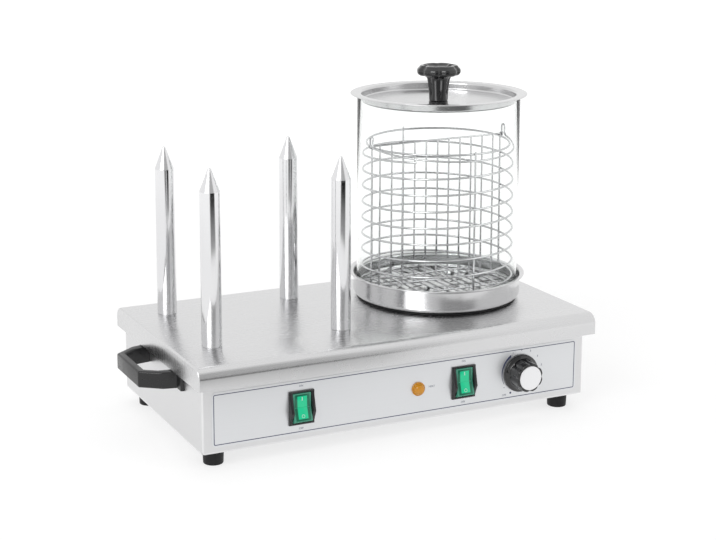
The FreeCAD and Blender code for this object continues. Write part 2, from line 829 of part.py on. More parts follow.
RECESS = 8
RECESS_WIDE = 11.2
FOOT_SIDES = 16
FOOT_HEAD = 3.5
FOOT_HEAD_WIDE = 8
FOOT_SCREW_TAIL = 4
foot = new_body("Foot")
pad(foot, draw_many_sided(new_sketch(foot, "XY_Plane", "FootSole"), 0, 0, "foot_top", FOOT_SIDES),
    "casing_bottom", "FootBlock")
dress(foot, "Chamfer", level_at(0), "foot_taper", "FootEdge",
      (size("foot_top") - size("foot_bottom")) / 2)
recess = draw_many_sided(new_sketch(foot, "XY_Plane", "FootRecess"), 0, 0, RECESS_WIDE, BORE_SIDES)
pocket(foot, recess, RECESS, "FootRecessCut", reverse=True)
hole = draw_many_sided(new_sketch(foot, "XY_Plane", "FootHole", "casing_bottom"), 0, 0,
                       SCREW_HOLE + SCREW_GAP, SCREW_SIDES)
pocket(foot, hole, size("casing_bottom") - RECESS + 1, "FootHoleCut")
keep(group_of("Feet", foot, foot_places), "feet")
foot_screw = new_body("FootScrew")
head = draw_many_sided(new_sketch(foot_screw, "XY_Plane", "FootScrewHead", RECESS - FOOT_HEAD), 0, 0,
                       FOOT_HEAD_WIDE, SCREW_SIDES)
pad(foot_screw, head, FOOT_HEAD, "FootScrewBlock")
shank = draw_many_sided(new_sketch(foot_screw, "XY_Plane", "FootScrewShank", RECESS), 0, 0,
                        SCREW_HOLE, SCREW_SIDES)
pad(foot_screw, shank, plate_top + FOOT_SCREW_TAIL - RECESS, "FootScrewRod")
keep(group_of("FootScrews", foot_screw, foot_places), "foot_screws")

# Rocker switches: a black housing with chevron guards and a lit rocker on two trunnions

SLOT_HALF = 18.1
GUARD_APEX = -4
SLOT_DEPTH = 16
ROCKER_TIP = 3.3
ROCKER_DIP = 1.2
ROCKER_BACK = 1.5
TRUNNION_LONG = 1.7
pivot_depth = size("rocker_pivot_depth") - size("switch_flange")


def switch_housing(name):
    body = new_body(name)
    half_wide = size("switch_width") / 2
    half_tall = size("switch_tall") / 2
    flange = draw_box(new_sketch(body, "XZ_Plane", name + "Flange"),
                      -half_wide, half_wide, -half_tall, half_tall)
    pad(body, flange, "switch_flange", name + "FlangePlate")
    box = draw_box(new_sketch(body, "XZ_Plane", name + "Box"),
                   -size("switch_body_width") / 2, size("switch_body_width") / 2,
                   -size("switch_body_tall") / 2, size("switch_body_tall") / 2)
    pad(body, box, "switch_body_depth", name + "BoxBlock", reverse=True)
    guard = draw(new_sketch(body, "YZ_Plane", name + "Guard"), [
        (-size("switch_flange"), -SLOT_HALF),
        (-size("switch_flange"), SLOT_HALF),
        (-size("switch_flange") - size("guard_depth"), GUARD_APEX),
    ])
    pad(body, guard, size("switch_width") - 1, name + "Guards", middle=True)
    slot = draw_box(new_sketch(body, "XZ_Plane", name + "Slot",
                               size("switch_flange") + size("guard_depth") + 1),
                    -size("rocker_slot") / 2, size("rocker_slot") / 2, -SLOT_HALF, SLOT_HALF)
    pocket(body, slot, size("switch_flange") + size("guard_depth") + 1 + SLOT_DEPTH,
           name + "SlotCut")
    bearings = draw_circle(new_sketch(body, "YZ_Plane", name + "Bearings"),
                           pivot_depth, 0, size("trunnion") + size("trunnion_gap") * 2)
    pocket(body, bearings, size("switch_body_width") + 1, name + "BearingBores", middle=True)
    return body


def rocker(name):
    """Drawn level about its trunnions; both ends of its face stand proud of the middle."""
    body = new_body(name)
    half = size("rocker_half")
    tip = size("rocker_pivot_depth") + ROCKER_TIP
    profile = draw(new_sketch(body, "YZ_Plane", name + "Profile"), [
        (-tip, -half),
        (-size("rocker_pivot_depth") - ROCKER_DIP, 0),
        (-tip, half),
        (tip, half),
        (tip + ROCKER_BACK, half / 2),
        (tip + ROCKER_BACK, -half / 2),
        (tip, -half),
    ])
    pad(body, profile, "rocker_width", name + "Key", middle=True)
    pins = draw_circle(new_sketch(body, "YZ_Plane", name + "Pins"), 0, 0, "trunnion")
    pad(body, pins, size("rocker_width") + TRUNNION_LONG * 2, name + "Trunnions", middle=True)
    return body


for side, place in (("left", "switch_left_x"), ("right", "switch_right_x")):
    keep(switch_housing("SwitchHousing" + side.title()), "switch_housing_" + side,
         place, foil_face, "control_height")
    keep(rocker("Rocker" + side.title()), "rocker_" + side,
         place, foil_face + pivot_depth, "control_height",
         turn=Rotation(Vector(1, 0, 0), -size("rocker_swing").value))

# Pilot lamp: drawn upright and turned to face the front

TO_FRONT = Rotation(Vector(1, 0, 0), 90)
TO_BACK = Rotation(Vector(1, 0, 0), -90)
NECK_LOW = -size("panel_foil") - size("sheet")
LAMP_BARREL = 16
LAMP_BARREL_WIDE = 14
lamp_body = new_body("LampBody")
barrel = draw_many_sided(new_sketch(lamp_body, "XY_Plane", "LampBarrel", NECK_LOW - LAMP_BARREL), 0, 0,
                         LAMP_BARREL_WIDE, BORE_SIDES)
pad(lamp_body, barrel, LAMP_BARREL, "LampBarrelBlock")
neck = draw_many_sided(new_sketch(lamp_body, "XY_Plane", "LampNeck", NECK_LOW), 0, 0, "lamp_neck",
                       BORE_SIDES)
pad(lamp_body, neck, -NECK_LOW, "LampNeckBlock")
keep(lamp_body, "lamp_body", "lamp_x", foil_face, "control_height", turn=TO_FRONT)

LENS_FLANGE = 1.8
LENS_DOME = 6
LENS_WIDE = 13.9
LENS_BEVEL = 2.4
lens = new_body("LampLens")
flange = draw_many_sided(new_sketch(lens, "XY_Plane", "LensRim"), 0, 0, "lamp_diameter", RING_SIDES)
pad(lens, flange, LENS_FLANGE, "LensFlange")
facets = draw_many_sided(new_sketch(lens, "XY_Plane", "LensFacets"), 0, 0, LENS_WIDE, BORE_SIDES)
pad(lens, facets, LENS_DOME, "LensDome")
dress(lens, "Chamfer", level_at(LENS_DOME), LENS_BEVEL, "LensBevel")
keep(lens, "lamp_lens", "lamp_x", foil_face, "control_height", turn=TO_FRONT)

# Thermostat: a body behind the panel with a short bush, a shaft, and a fluted knob with a cap

BORE_DEEP = 20
SHAFT_HIGH = 18
GRIP_SIDES = 16
GRIP_NECK = 1
GRIP_FLUTE = 1.6
SKIRT_EDGE = 1
half_block = size("thermostat_size") / 2
knob_front = size("knob_reach") - size("panel_foil")
shaft_bore = size("shaft_diameter") + size("shaft_gap") * 2
thermostat = new_body("Thermostat")
square = draw_box(new_sketch(thermostat, "XY_Plane", "ThermostatBlock",
                             NECK_LOW - size("thermostat_depth")),
                  -half_block, half_block, -half_block, half_block)
pad(thermostat, square, "thermostat_depth", "ThermostatBody")
bush = draw_many_sided(new_sketch(thermostat, "XY_Plane", "ThermostatBush", NECK_LOW), 0, 0, "bush",
                       BORE_SIDES)
pad(thermostat, bush, -NECK_LOW, "ThermostatNeck")
bore = draw_circle(new_sketch(thermostat, "XY_Plane", "ThermostatBore"), 0, 0, shaft_bore)
pocket(thermostat, bore, BORE_DEEP, "ThermostatBearing")
keep(thermostat, "thermostat", "thermostat_x", foil_face, "control_height", turn=TO_FRONT)

shaft = new_body("ThermostatShaft")
rod = draw_circle(new_sketch(shaft, "XY_Plane", "ShaftRound", 1 - BORE_DEEP), 0, 0,
                  "shaft_diameter")
pad(shaft, rod, BORE_DEEP - 1 + SHAFT_HIGH, "ShaftRod")
keep(shaft, "thermostat_shaft", "thermostat_x", foil_face, "control_height", turn=TO_FRONT)

knob = new_body("ThermostatKnob")
skirt = draw_many_sided(new_sketch(knob, "XY_Plane", "KnobSkirt", "knob_lift"), 0, 0, "knob_skirt",
                        RING_SIDES)
pad(knob, skirt, size("knob_skirt_high") - size("knob_lift"), "KnobSkirtBlock")
dress(knob, "Chamfer", level_at("knob_skirt_high"),
      size("knob_skirt_high") - size("knob_lift") - SKIRT_EDGE, "KnobSkirtSlope")
grip_corner = size("knob_grip") / 2
grip_hollow = grip_corner - GRIP_FLUTE
grip_spots = [(grip_corner if i % 2 else grip_hollow, math.pi * i / (GRIP_SIDES / 2))
              for i in range(GRIP_SIDES)]
grip = draw(new_sketch(knob, "XY_Plane", "KnobGrip", size("knob_skirt_high") - GRIP_NECK),
            [(r * math.cos(t), r * math.sin(t)) for r, t in grip_spots])
pad(knob, grip, knob_front - size("knob_skirt_high") + GRIP_NECK, "KnobGripBlock")
seat = draw_many_sided(new_sketch(knob, "XY_Plane", "KnobCapSeat", knob_front), 0, 0, "knob_cap",
                       RING_SIDES)
pocket(knob, seat, "cap_thick", "KnobCapSeatCut")
bore = draw_circle(new_sketch(knob, "XY_Plane", "KnobBore", "knob_lift"), 0, 0, "shaft_diameter")
pocket(knob, bore, size(SHAFT_HIGH) - size("knob_lift"), "KnobBoreCut", reverse=True)
keep(knob, "thermostat_knob", "thermostat_x", foil_face, "control_height", turn=TO_FRONT)

cap = new_body("KnobCap")
disc = draw_many_sided(new_sketch(cap, "XY_Plane", "CapRound", knob_front - size("cap_thick")), 0, 0,
                       "knob_cap", RING_SIDES)
pad(cap, disc, "cap_thick", "CapDisc")
keep(cap, "knob_cap", "thermostat_x", foil_face, "control_height", turn=TO_FRONT)

# Cable gland in the rear wall, with its nut inside

GLAND_HEX = 22
GLAND_COLLAR = 5
GLAND_NOSE_WIDE = 19
GLAND_BEVEL = 3
GLAND_BORE = 8
GLAND_TAIL = 12
gland = new_body("CableGland")
gland_reach = size("rear_reach") - half_depth
collar = draw_many_sided(new_sketch(gland, "XY_Plane", "GlandCollar"), 0, 0, GLAND_HEX, 6)
pad(gland, collar, GLAND_COLLAR, "GlandHex")
thread = draw_many_sided(new_sketch(gland, "XY_Plane", "GlandThread"), 0, 0, GLAND_THREAD, BORE_SIDES)
pad(gland, thread, GLAND_TAIL, "GlandRod", reverse=True)
nose = draw_many_sided(new_sketch(gland, "XY_Plane", "GlandDome", GLAND_COLLAR), 0, 0,
                       GLAND_NOSE_WIDE, BORE_SIDES)
pad(gland, nose, gland_reach - GLAND_COLLAR, "GlandNose")
dress(gland, "Chamfer", level_at(gland_reach), GLAND_BEVEL, "GlandBevel")
passage = draw_many_sided(new_sketch(gland, "XY_Plane", "GlandBore", gland_reach), 0, 0, GLAND_BORE,
                          BORE_SIDES)
pocket(gland, passage, gland_reach + GLAND_TAIL, "GlandPassage")
keep(gland, "cable_gland", GLAND_X, half_depth, GLAND_HEIGHT, turn=TO_BACK)
gland_nut = hex_nut("GlandNut", -size("sheet") - GLAND_COLLAR, GLAND_COLLAR, GLAND_HEX, GLAND_THREAD)
keep(gland_nut, "gland_nut", GLAND_X, half_depth, GLAND_HEIGHT, turn=TO_BACK)

# Terminal block on the base plate: three ways

BLOCK_WIDE = 48
BLOCK_DEEP = 20
BLOCK_HIGH = 16
WAY_PITCH = 15
WAY_WIDE = 8
WAY_LOW = 4
BLOCK_X = 60
BLOCK_Y = 95
terminals = new_body("TerminalBlock")
base_outline = draw_box(new_sketch(terminals, "XY_Plane", "BlockOutline"),
                        -BLOCK_WIDE / 2, BLOCK_WIDE / 2, -BLOCK_DEEP / 2, BLOCK_DEEP / 2)
pad(terminals, base_outline, BLOCK_HIGH, "BlockBody")
ways = new_sketch(terminals, "XZ_Plane", "BlockWays")
for way in (-1, 0, 1):
    draw_box(ways, way * WAY_PITCH - WAY_WIDE / 2, way * WAY_PITCH + WAY_WIDE / 2,
             WAY_LOW, WAY_LOW + WAY_WIDE)
pocket(terminals, ways, BLOCK_DEEP + 1, "BlockBores", middle=True)
keep(terminals, "terminal_block", BLOCK_X, BLOCK_Y, plate_top)

# Sieve plate: carries the glass and the basket, and stands in the pan on a welded ring

sieve_low = size("glass_low") - size("sieve_sheet")
sieve_ring = flat_ring("SieveRing", pan_floor, sieve_low - pan_floor,
                       (size("sieve_foot") - size("sieve_sheet")) * 2, size("sieve_foot") * 2,
                       PLATE_SIDES)
keep(sieve_ring, "sieve_ring", "glass_x", "glass_y")
sieve = new_body("SievePlate")
disc = draw_many_sided(new_sketch(sieve, "XY_Plane", "SieveDisc", sieve_low), 0, 0,
                       size("sieve_radius") * 2, PLATE_SIDES)
pad(sieve, disc, "sieve_sheet", "SieveDiscSheet")


def slot_ring(name, inner, outer, lean, width, count):
    """A round of slots, each leaning sideways as it runs outwards."""
    slot = draw(new_sketch(sieve, "XY_Plane", name, "glass_low"), [
        (inner, -width / 2), (outer, lean - width / 2), (outer, lean + width / 2),
        (inner, width / 2),
    ])
    cut = pocket(sieve, slot, size("sieve_sheet") + 0.5, name + "Cut")
    polar(sieve, cut, count, name=name + "Round")


SLOT_WIDTH = 4
slot_ring("OuterSlots", 50, 86, 16, SLOT_WIDTH, "sieve_slots")
slot_ring("InnerSlots", 20, 43, 8, SLOT_WIDTH, 10)
keep(sieve, "sieve_plate", "glass_x", "glass_y")

# Glass cylinder

glass = flat_ring("GlassCylinder", "glass_low", "glass_height",
                  size("glass_diameter") - size("glass_wall") * 2, "glass_diameter", ROUND_SIDES)
keep(glass, "glass_cylinder", "glass_x", "glass_y")

# Lid: a pressed plate with a sunk middle that centres it in the glass

LID_SCREW = 6
lid = new_body("Lid")
plug = draw_many_sided(new_sketch(lid, "XY_Plane", "LidPlug", lid_floor), 0, 0, size("lid_plug") * 2,
                       ROUND_SIDES)
pad(lid, plug, size("lid_depth"), "LidPlugBlock")
brim = draw_many_sided(new_sketch(lid, "XY_Plane", "LidBrim", glass_top), 0, 0, size("lid_rim") * 2,
                       ROUND_SIDES)
pad(lid, brim, "lid_sheet", "LidBrimPlate")
well = draw_many_sided(new_sketch(lid, "XY_Plane", "LidWell", lid_top), 0, 0,
                       (size("lid_plug") - size("lid_sheet")) * 2, ROUND_SIDES)
pocket(lid, well, lid_top - lid_seat, "LidWellCut")
lid_hole = draw_many_sided(new_sketch(lid, "XY_Plane", "LidHole", lid_seat), 0, 0,
                           LID_SCREW + SCREW_GAP, SCREW_SIDES)
pocket(lid, lid_hole, size("lid_sheet") + 1, "LidHoleCut")
keep(lid, "lid", "glass_x", "glass_y")

# Lid knob: a six-lobed dished head on a stem that widens upwards

LOBES = 6
LOBE_DEPTH = 3.4
LOBE_CROWN = 0.6
HEAD_BEVEL = 2
DISH = 3
DISH_WIDE = 37
STEM_BORE = 18
STEM_NECK = 1
KNOB_TURN = Rotation(Vector(0, 0, 1), 7.8)
lid_knob = new_body("LidKnob")
knob_top = size("lid_knob_height")
head_low = knob_top - size("lid_knob_head_height")
head_radius = size("lid_knob_head") / 2
corners = []
for lobe in range(LOBES):
    for step, drop in ((-1, LOBE_CROWN), (0, 0), (1, LOBE_CROWN), (2, LOBE_DEPTH)):
        turn = math.pi * (lobe * 4 + step) / (LOBES * 2)
        reach = head_radius - drop
        corners.append((reach * math.cos(turn), reach * math.sin(turn)))
outline = draw(new_sketch(lid_knob, "XY_Plane", "KnobLobes", head_low), corners)
pad(lid_knob, outline, "lid_knob_head_height", "KnobHead")
dress(lid_knob, "Chamfer", level_at(head_low, knob_top), HEAD_BEVEL, "KnobBevel")
stem = draw_many_sided(new_sketch(lid_knob, "XY_Plane", "StemRound"), 0, 0, "lid_stem_top", RING_SIDES)
pad(lid_knob, stem, head_low, "StemBlock")
dress(lid_knob, "Chamfer", level_at(0), head_low - STEM_NECK, "StemSlope",
      (size("lid_stem_top") - size("lid_stem_foot")) / 2)
dish = draw_many_sided(new_sketch(lid_knob, "XY_Plane", "KnobDish", knob_top), 0, 0, DISH_WIDE,
                       RING_SIDES)
pocket(lid_knob, dish, DISH, "KnobDishCut")
stem_bore = draw_many_sided(new_sketch(lid_knob, "XY_Plane", "StemBore"), 0, 0,
                            LID_SCREW + CONTROL_GAP, SCREW_SIDES)
pocket(lid_knob, stem_bore, STEM_BORE, "StemTap", reverse=True)
keep(lid_knob, "lid_knob", "glass_x", "glass_y", lid_seat, turn=KNOB_TURN)

LID_SCREW_HEAD = 3
LID_SCREW_HEAD_WIDE = 10
LID_SCREW_LONG = 16
lid_screw = new_body("LidScrew")
head = draw_many_sided(new_sketch(lid_screw, "XY_Plane", "LidScrewHead", -LID_SCREW_HEAD), 0, 0,
                       LID_SCREW_HEAD_WIDE, SCREW_SIDES)
pad(lid_screw, head, LID_SCREW_HEAD, "LidScrewBlock")
shank = draw_many_sided(new_sketch(lid_screw, "XY_Plane", "LidScrewShank"), 0, 0, LID_SCREW, SCREW_SIDES)
pad(lid_screw, shank, LID_SCREW_LONG, "LidScrewRod")
keep(lid_screw, "lid_screw", "glass_x", "glass_y", lid_floor, turn=KNOB_TURN)

# Basket frame: two rings and two uprights, inside the spiral

frame = new_body("BasketFrame")
wire = size("wire")
WELD_BITE = 0.3
for name, low in (("TopRing", size("ring_high") - wire_half), ("FootRing", size("glass_low"))):
    ring = draw_many_sided(new_sketch(frame, "XY_Plane", name, low), 0, 0, ring_outside * 2, PLATE_SIDES)
    draw_many_sided(ring, 0, 0, ring_inside * 2, PLATE_SIDES)
    pad(frame, ring, "wire", name + "Wire")
posts = new_sketch(frame, "XY_Plane", "Uprights", "glass_low")
for side in (-1, 1):
    draw_box(posts, -wire_half, wire_half,
             (ring_outside - WELD_BITE) * side, (upright_radius + wire_half) * side)
pad(frame, posts, size("upright_tip") - size("glass_low"), "UprightWires")
keep(frame, "basket_frame", "glass_x", "glass_y")

# Divider: a flat grid across the basket whose top bar ends in the pins that carry the bail

divider = new_body("BasketDivider")
divider_end = upright_radius + wire_half
grid = draw_box(new_sketch(divider, "XZ_Plane", "DividerGrid"),
                -divider_end, divider_end, divider_low, bar_high + wire_half)
BARS = int(size("divider_wires").value)
grid_bars = [size("divider_pitch") * (i - (BARS - 1) / 2) for i in range(BARS)]
grid_bars = [-upright_radius] + grid_bars + [upright_radius]
for left, right in zip(grid_bars, grid_bars[1:]):
    draw_box(grid, left + wire_half, right - wire_half, divider_low + wire, bar_high - wire_half)
pad(divider, grid, "wire", "DividerWires", middle=True)
pins = draw_circle(new_sketch(divider, "YZ_Plane", "BailPins"), 0, bar_high, "wire")
pad(divider, pins, size("pin_reach") * 2, "BailPinRod", middle=True)
keep(divider, "basket_divider", "glass_x", "glass_y")

# Basket base: a grid of wires on the foot ring

grid_wires = []
GRID = int(size("base_wires").value)
for x in [size("base_pitch") * (i - (GRID - 1) / 2) for i in range(GRID)]:
    reach = (ring_outside * ring_outside - x * x).root() - wire_half
    wires = document.addObject("Part::Box", "BaseWire")
    for prop, length in (("Length", wire), ("Width", reach * 2), ("Height", wire),
                         ("Placement.Base.x", x - wire_half), ("Placement.Base.y", -reach),
                         ("Placement.Base.z", base_low)):
        wires.setExpression(prop, length.formula)
    grid_wires.append(wires)
CROSS = 44
for y in (-CROSS, CROSS):
    reach = (ring_outside * ring_outside - CROSS * CROSS).root() - wire_half
    wires = document.addObject("Part::Box", "CrossWire")
    for prop, length in (("Length", reach * 2), ("Width", wire), ("Height", wire),
                         ("Placement.Base.x", -reach), ("Placement.Base.y", y - wire_half),
                         ("Placement.Base.z", base_low)):
        wires.setExpression(prop, length.formula)
    grid_wires.append(wires)
base = document.addObject("Part::MultiFuse", "BasketBase")
base.Shapes = grid_wires
keep(base, "basket_base", "glass_x", "glass_y")

# Basket spiral: one unbroken wire, laid on pairs of tangent arcs


def tangent_arcs(p0, t0, p1, t1):
    """Two arcs that leave p0 along t0, meet smoothly and reach p1 along t1."""
    across = p1 - p0
    a = 2 * (t0.dot(t1) - 1)
    b = -2 * across.dot(t0 + t1)
    c = across.dot(across)
    spread = math.sqrt(b * b - 4 * a * c)
    reach = min(r for r in ((-b + spread) / (2 * a), (-b - spread) / (2 * a)) if r > 0)
    q0 = p0 + t0 * reach
    q1 = p1 - t1 * reach
    middle = (q0 + q1) * 0.5
    return [arc_from(p0, t0, middle), arc_from(middle, (q1 - q0).normalize(), p1)]


def arc_from(start, direction, end):
    """The arc that leaves start along a direction and passes to end."""
    chord = end - start
    normal = direction.cross(chord).normalize()
    inward = normal.cross(direction)
    radius = chord.dot(chord) / (2 * chord.dot(inward))
    centre = start + inward * radius
    top = ((start + end) * 0.5 - centre).normalize()
    return Part.Arc(start, centre + top * abs(radius), end).toShape()


def three_sided(place, along, width):
    """The wire's section across its direction: a flat on the inside, a corner on the outside."""
    side = along.cross(Vector(0, 0, 1)).normalize()
    up = side.cross(along).normalize()
    half = width / 2
    corners = [place + side * (half * a) + up * (half * b) for a, b in ((-1, -1), (1, 0), (-1, 1))]
    return Part.makePolygon(corners + corners[:1])


def wire_along(edges, section):
    shell = Part.BRepOffsetAPI.MakePipeShell(Part.Wire(edges))
    shell.add(section)
    shell.build()
    shell.makeSolid()
    return shell.shape()


def number(name):
    return size(name).value


def spiral_point(turn):
    """A point of the spiral's middle line, so many turns from its foot."""
    angle = math.radians(number("spiral_start")) + 2 * math.pi * turn
    radius = number("spiral_radius")
    return Vector(radius * math.cos(angle), radius * math.sin(angle),
                  number("spiral_low") + number("spiral_pitch") * turn)


def spiral_direction(turn):
    angle = math.radians(number("spiral_start")) + 2 * math.pi * turn
    radius = number("spiral_radius")
    return Vector(-radius * math.sin(angle), radius * math.cos(angle),
                  number("spiral_pitch") / (2 * math.pi)).normalize()


whole_turns = math.floor(number("spiral_turns"))
half_turns = [step / 2 for step in range(whole_turns * 2 + 1)] + [number("spiral_turns")]
spiral_edges = []
for here, there in zip(half_turns, half_turns[1:]):
    spiral_edges += tangent_arcs(spiral_point(here), spiral_direction(here),
                                 spiral_point(there), spiral_direction(there))
spiral = document.addObject("Part::Feature", "BasketSpiral")
spiral.Shape = wire_along(spiral_edges, three_sided(spiral_point(0), spiral_direction(0),
                                                    number("wire_section")))
keep(spiral, "basket_spiral", "glass_x", "glass_y")
STEPS = 72
turn_points = [spiral_point(i / STEPS) for i in range(int(STEPS * number("spiral_turns")) + 1)]
gap = min(p.distanceToPoint(q) for i, p in enumerate(turn_points)
          for q in turn_points[i + STEPS // 2:]) - number("wire") * math.sqrt(2)
print("least gap of the spiral to itself: %.2f mm" % gap)

# Bail: lies round the front of the basket; a raised ear at each end leads to an eye on its pin

pivot = Vector(0, 0, bar_high.value)
droop = math.radians(number("bail_droop"))
bail_radius = number("bail_radius")
bail_bend = number("bail_bend")
EAR_CORNER = 2
EYE_SIDES = 8


def bail_point(angle):
    """A point of the bow, counted from the right-hand end towards the front."""
    back = -bail_radius * math.sin(angle)
    return pivot + Vector(bail_radius * math.cos(angle), back * math.cos(droop),
                          back * math.sin(droop))


def bail_direction(angle):
    back = -bail_radius * math.cos(angle)
    return Vector(-bail_radius * math.sin(angle), back * math.cos(droop),
                  back * math.sin(droop)).normalize()


def square_at(place, along, across, width):
    """A square section across a direction, one pair of sides along another."""
    other = along.cross(across).normalize()
    half = width / 2
    corners = [place + across * (half * a) + other * (half * b)
               for a, b in ((-1, -1), (1, -1), (1, 1), (-1, 1))]
    return Part.makePolygon(corners + corners[:1])


up = Vector(0, 0, 1)
thick = number("wire")
bow_start = math.asin((number("ear_width") + bail_bend) / bail_radius)
bow_first = bail_point(bow_start)
bow_back = bail_direction(bow_start) * -1
bow_normal = Vector(0, -math.sin(droop), math.cos(droop))
bow_section = square_at(bow_first, bow_back, bow_normal, thick)
bow = Part.Face(bow_section).revolve(pivot, bow_normal, -math.degrees(math.pi - 2 * bow_start))

# The ear stands in the upright plane through the bow's first direction
level = Vector(bow_back.x, bow_back.y, 0).normalize()
outwards = level.cross(up)
corner = bow_first + bow_back * (bail_bend / 2)
legs_apart = -corner.y / level.y
ear_top = pivot.z + number("ear_height") - thick / 2
inner_x = (corner + level * legs_apart).x
ear_path = [
    bow_first,
    corner,
    Vector(corner.x, corner.y, ear_top - EAR_CORNER),
    Vector(corner.x, corner.y, ear_top) + level * EAR_CORNER,
    Vector(inner_x, 0, ear_top) - level * EAR_CORNER,
    Vector(inner_x, 0, ear_top - EAR_CORNER),
    Vector(inner_x, 0, pivot.z + number("eye_gap") + (thick + number("eye_wall")) / 2),
]


def straight_bar(start, end):
    """A square bar between two points, a quarter of its width longer at each end."""
    along = (end - start).normalize()
    first = start - along * (thick / 4)
    face = Part.Face(square_at(first, along, outwards, thick))
    return face.extrude(end - start + along * (thick / 2))


ear_bars = [straight_bar(a, b) for a, b in zip(ear_path, ear_path[1:])]
eye_left = Vector(inner_x - thick / 2, 0, pivot.z)
bore_radius = thick / 2 + number("eye_gap")
eye_corner = (bore_radius + number("eye_wall")) / math.cos(math.pi / EYE_SIDES)
eye_turns = [2 * math.pi * (i + 0.5) / EYE_SIDES for i in range(EYE_SIDES + 1)]
eye_rim = Part.makePolygon([eye_left + Vector(0, eye_corner * math.cos(t), eye_corner * math.sin(t))
                            for t in eye_turns])
eye_block = Part.Face(eye_rim).extrude(Vector(thick, 0, 0))
eye_bore = Part.makeCylinder(bore_radius, thick, eye_left, Vector(1, 0, 0))
right_ear = ear_bars[0].multiFuse(ear_bars[1:] + [eye_block]).cut(eye_bore)
left_ear = right_ear.mirror(Vector(0, 0, 0), Vector(1, 0, 0))
bail = document.addObject("Part::Feature", "BasketBail")
bail.Shape = bow.multiFuse([right_ear, left_ear]).removeSplitter()
keep(bail, "basket_bail", "glass_x", "glass_y")

# Check every piece, then write one file for each

document.recompute()
for item in document.Objects:
    if "Invalid" in item.State or "Error" in item.State:
        raise RuntimeError("%s is not sound" % item.Name)
for piece in parts:
    if piece.Shape.isNull() or not piece.Shape.isValid():
        raise RuntimeError("%s has no sound shape" % piece.Label)
os.makedirs("parts", exist_ok=True)
for piece in parts:
    piece.Shape.exportStep("parts/%s.step" % piece.Label)
print("%d pieces written" % len(parts))
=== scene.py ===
import bpy
import math
from mathutils import Matrix, Vector


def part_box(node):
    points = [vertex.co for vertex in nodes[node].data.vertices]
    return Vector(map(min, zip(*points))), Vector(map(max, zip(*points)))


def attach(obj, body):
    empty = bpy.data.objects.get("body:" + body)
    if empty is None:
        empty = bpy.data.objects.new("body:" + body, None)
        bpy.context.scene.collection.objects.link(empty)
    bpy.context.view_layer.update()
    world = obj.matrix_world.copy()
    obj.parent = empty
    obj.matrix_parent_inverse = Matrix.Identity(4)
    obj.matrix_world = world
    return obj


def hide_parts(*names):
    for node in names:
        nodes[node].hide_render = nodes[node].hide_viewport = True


# Hot dog toaster on a white table: looks, light and camera. Metres, Z up, control panel to the front.

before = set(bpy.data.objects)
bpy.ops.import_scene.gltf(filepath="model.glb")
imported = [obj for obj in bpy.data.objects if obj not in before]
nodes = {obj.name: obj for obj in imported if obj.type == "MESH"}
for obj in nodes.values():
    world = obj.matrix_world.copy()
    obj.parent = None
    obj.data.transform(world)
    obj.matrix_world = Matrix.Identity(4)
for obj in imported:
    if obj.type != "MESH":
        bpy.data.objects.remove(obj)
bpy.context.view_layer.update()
scene = bpy.context.scene

# Places taken from the solids

glass_low, glass_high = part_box("glass_cylinder")
glass_middle = (glass_low + glass_high) / 2
AXIS = (glass_middle.x, glass_middle.y, 0)
foil_low, foil_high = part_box("panel_foil")
PANEL_FACE = foil_low.y
casing_low, casing_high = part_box("casing")
CASING_MIDDLE = tuple((casing_low + casing_high) / 2)
CASING_HALF = tuple((casing_high - casing_low) / 2)
cover_low, cover_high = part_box("top_cover")
COVER_TOP = cover_high.z
CONTROL_HEIGHT = 0.057
KNOB_X = 0.1592
LAMP_X = 0.0204
SWITCHES = {"left": -0.129, "right": 0.0806}

# Camera: a long lens at table-top product height, left of the panel

CAMERA_PLACE = Vector((-0.832433, -1.665308, 0.659256))
CAMERA_YAW = math.radians(-24.04)
CAMERA_PITCH = math.radians(-11.564)
CAMERA_ROLL = math.radians(-0.328)
ahead = Vector((-math.sin(CAMERA_YAW) * math.cos(CAMERA_PITCH),
                math.cos(CAMERA_YAW) * math.cos(CAMERA_PITCH), math.sin(CAMERA_PITCH)))
level_right = Vector((math.cos(CAMERA_YAW), math.sin(CAMERA_YAW), 0))
level_up = level_right.cross(ahead)
camera_right = level_right * math.cos(CAMERA_ROLL) + level_up * math.sin(CAMERA_ROLL)
camera_up = level_up * math.cos(CAMERA_ROLL) - level_right * math.sin(CAMERA_ROLL)
bpy.ops.object.camera_add(location=CAMERA_PLACE)
camera = bpy.context.object
camera.name = "product_camera"
camera.matrix_world = (Matrix.Translation(CAMERA_PLACE)
                       @ Matrix((camera_right, camera_up, -ahead)).transposed().to_4x4())
camera.data.sensor_width = 36
camera.data.lens = 79.655
camera.data.shift_x = 0.10
camera.data.shift_y = -0.12
camera.data.clip_end = 50
scene.camera = camera
scene.view_settings.view_transform = "Standard"


# Finishes

def wire_up(tree, source, target):
    tree.links.new(source, target)


def value_of(tree, operation, first, second=None, third=None, clamp=False):
    """One sum on numbers or sockets; gives the result's socket."""
    node = tree.nodes.new("ShaderNodeMath")
    node.operation = operation
    node.use_clamp = clamp
    for place, item in enumerate((first, second, third)):
        if item is None:
            continue
        if isinstance(item, (int, float)):
            node.inputs[place].default_value = item
        else:
            wire_up(tree, item, node.inputs[place])
    return node.outputs[0]


def spread_of(tree, value, low, high, to_low=0.0, to_high=1.0):
    """Stretch a value's range to another, held between its ends."""
    node = tree.nodes.new("ShaderNodeMapRange")
    node.interpolation_type = "SMOOTHSTEP"
    wire_up(tree, value, node.inputs["Value"])
    for name, item in (("From Min", low), ("From Max", high), ("To Min", to_low), ("To Max", to_high)):
        if isinstance(item, (int, float)):
            node.inputs[name].default_value = item
        else:
            wire_up(tree, item, node.inputs[name])
    return node.outputs["Result"]


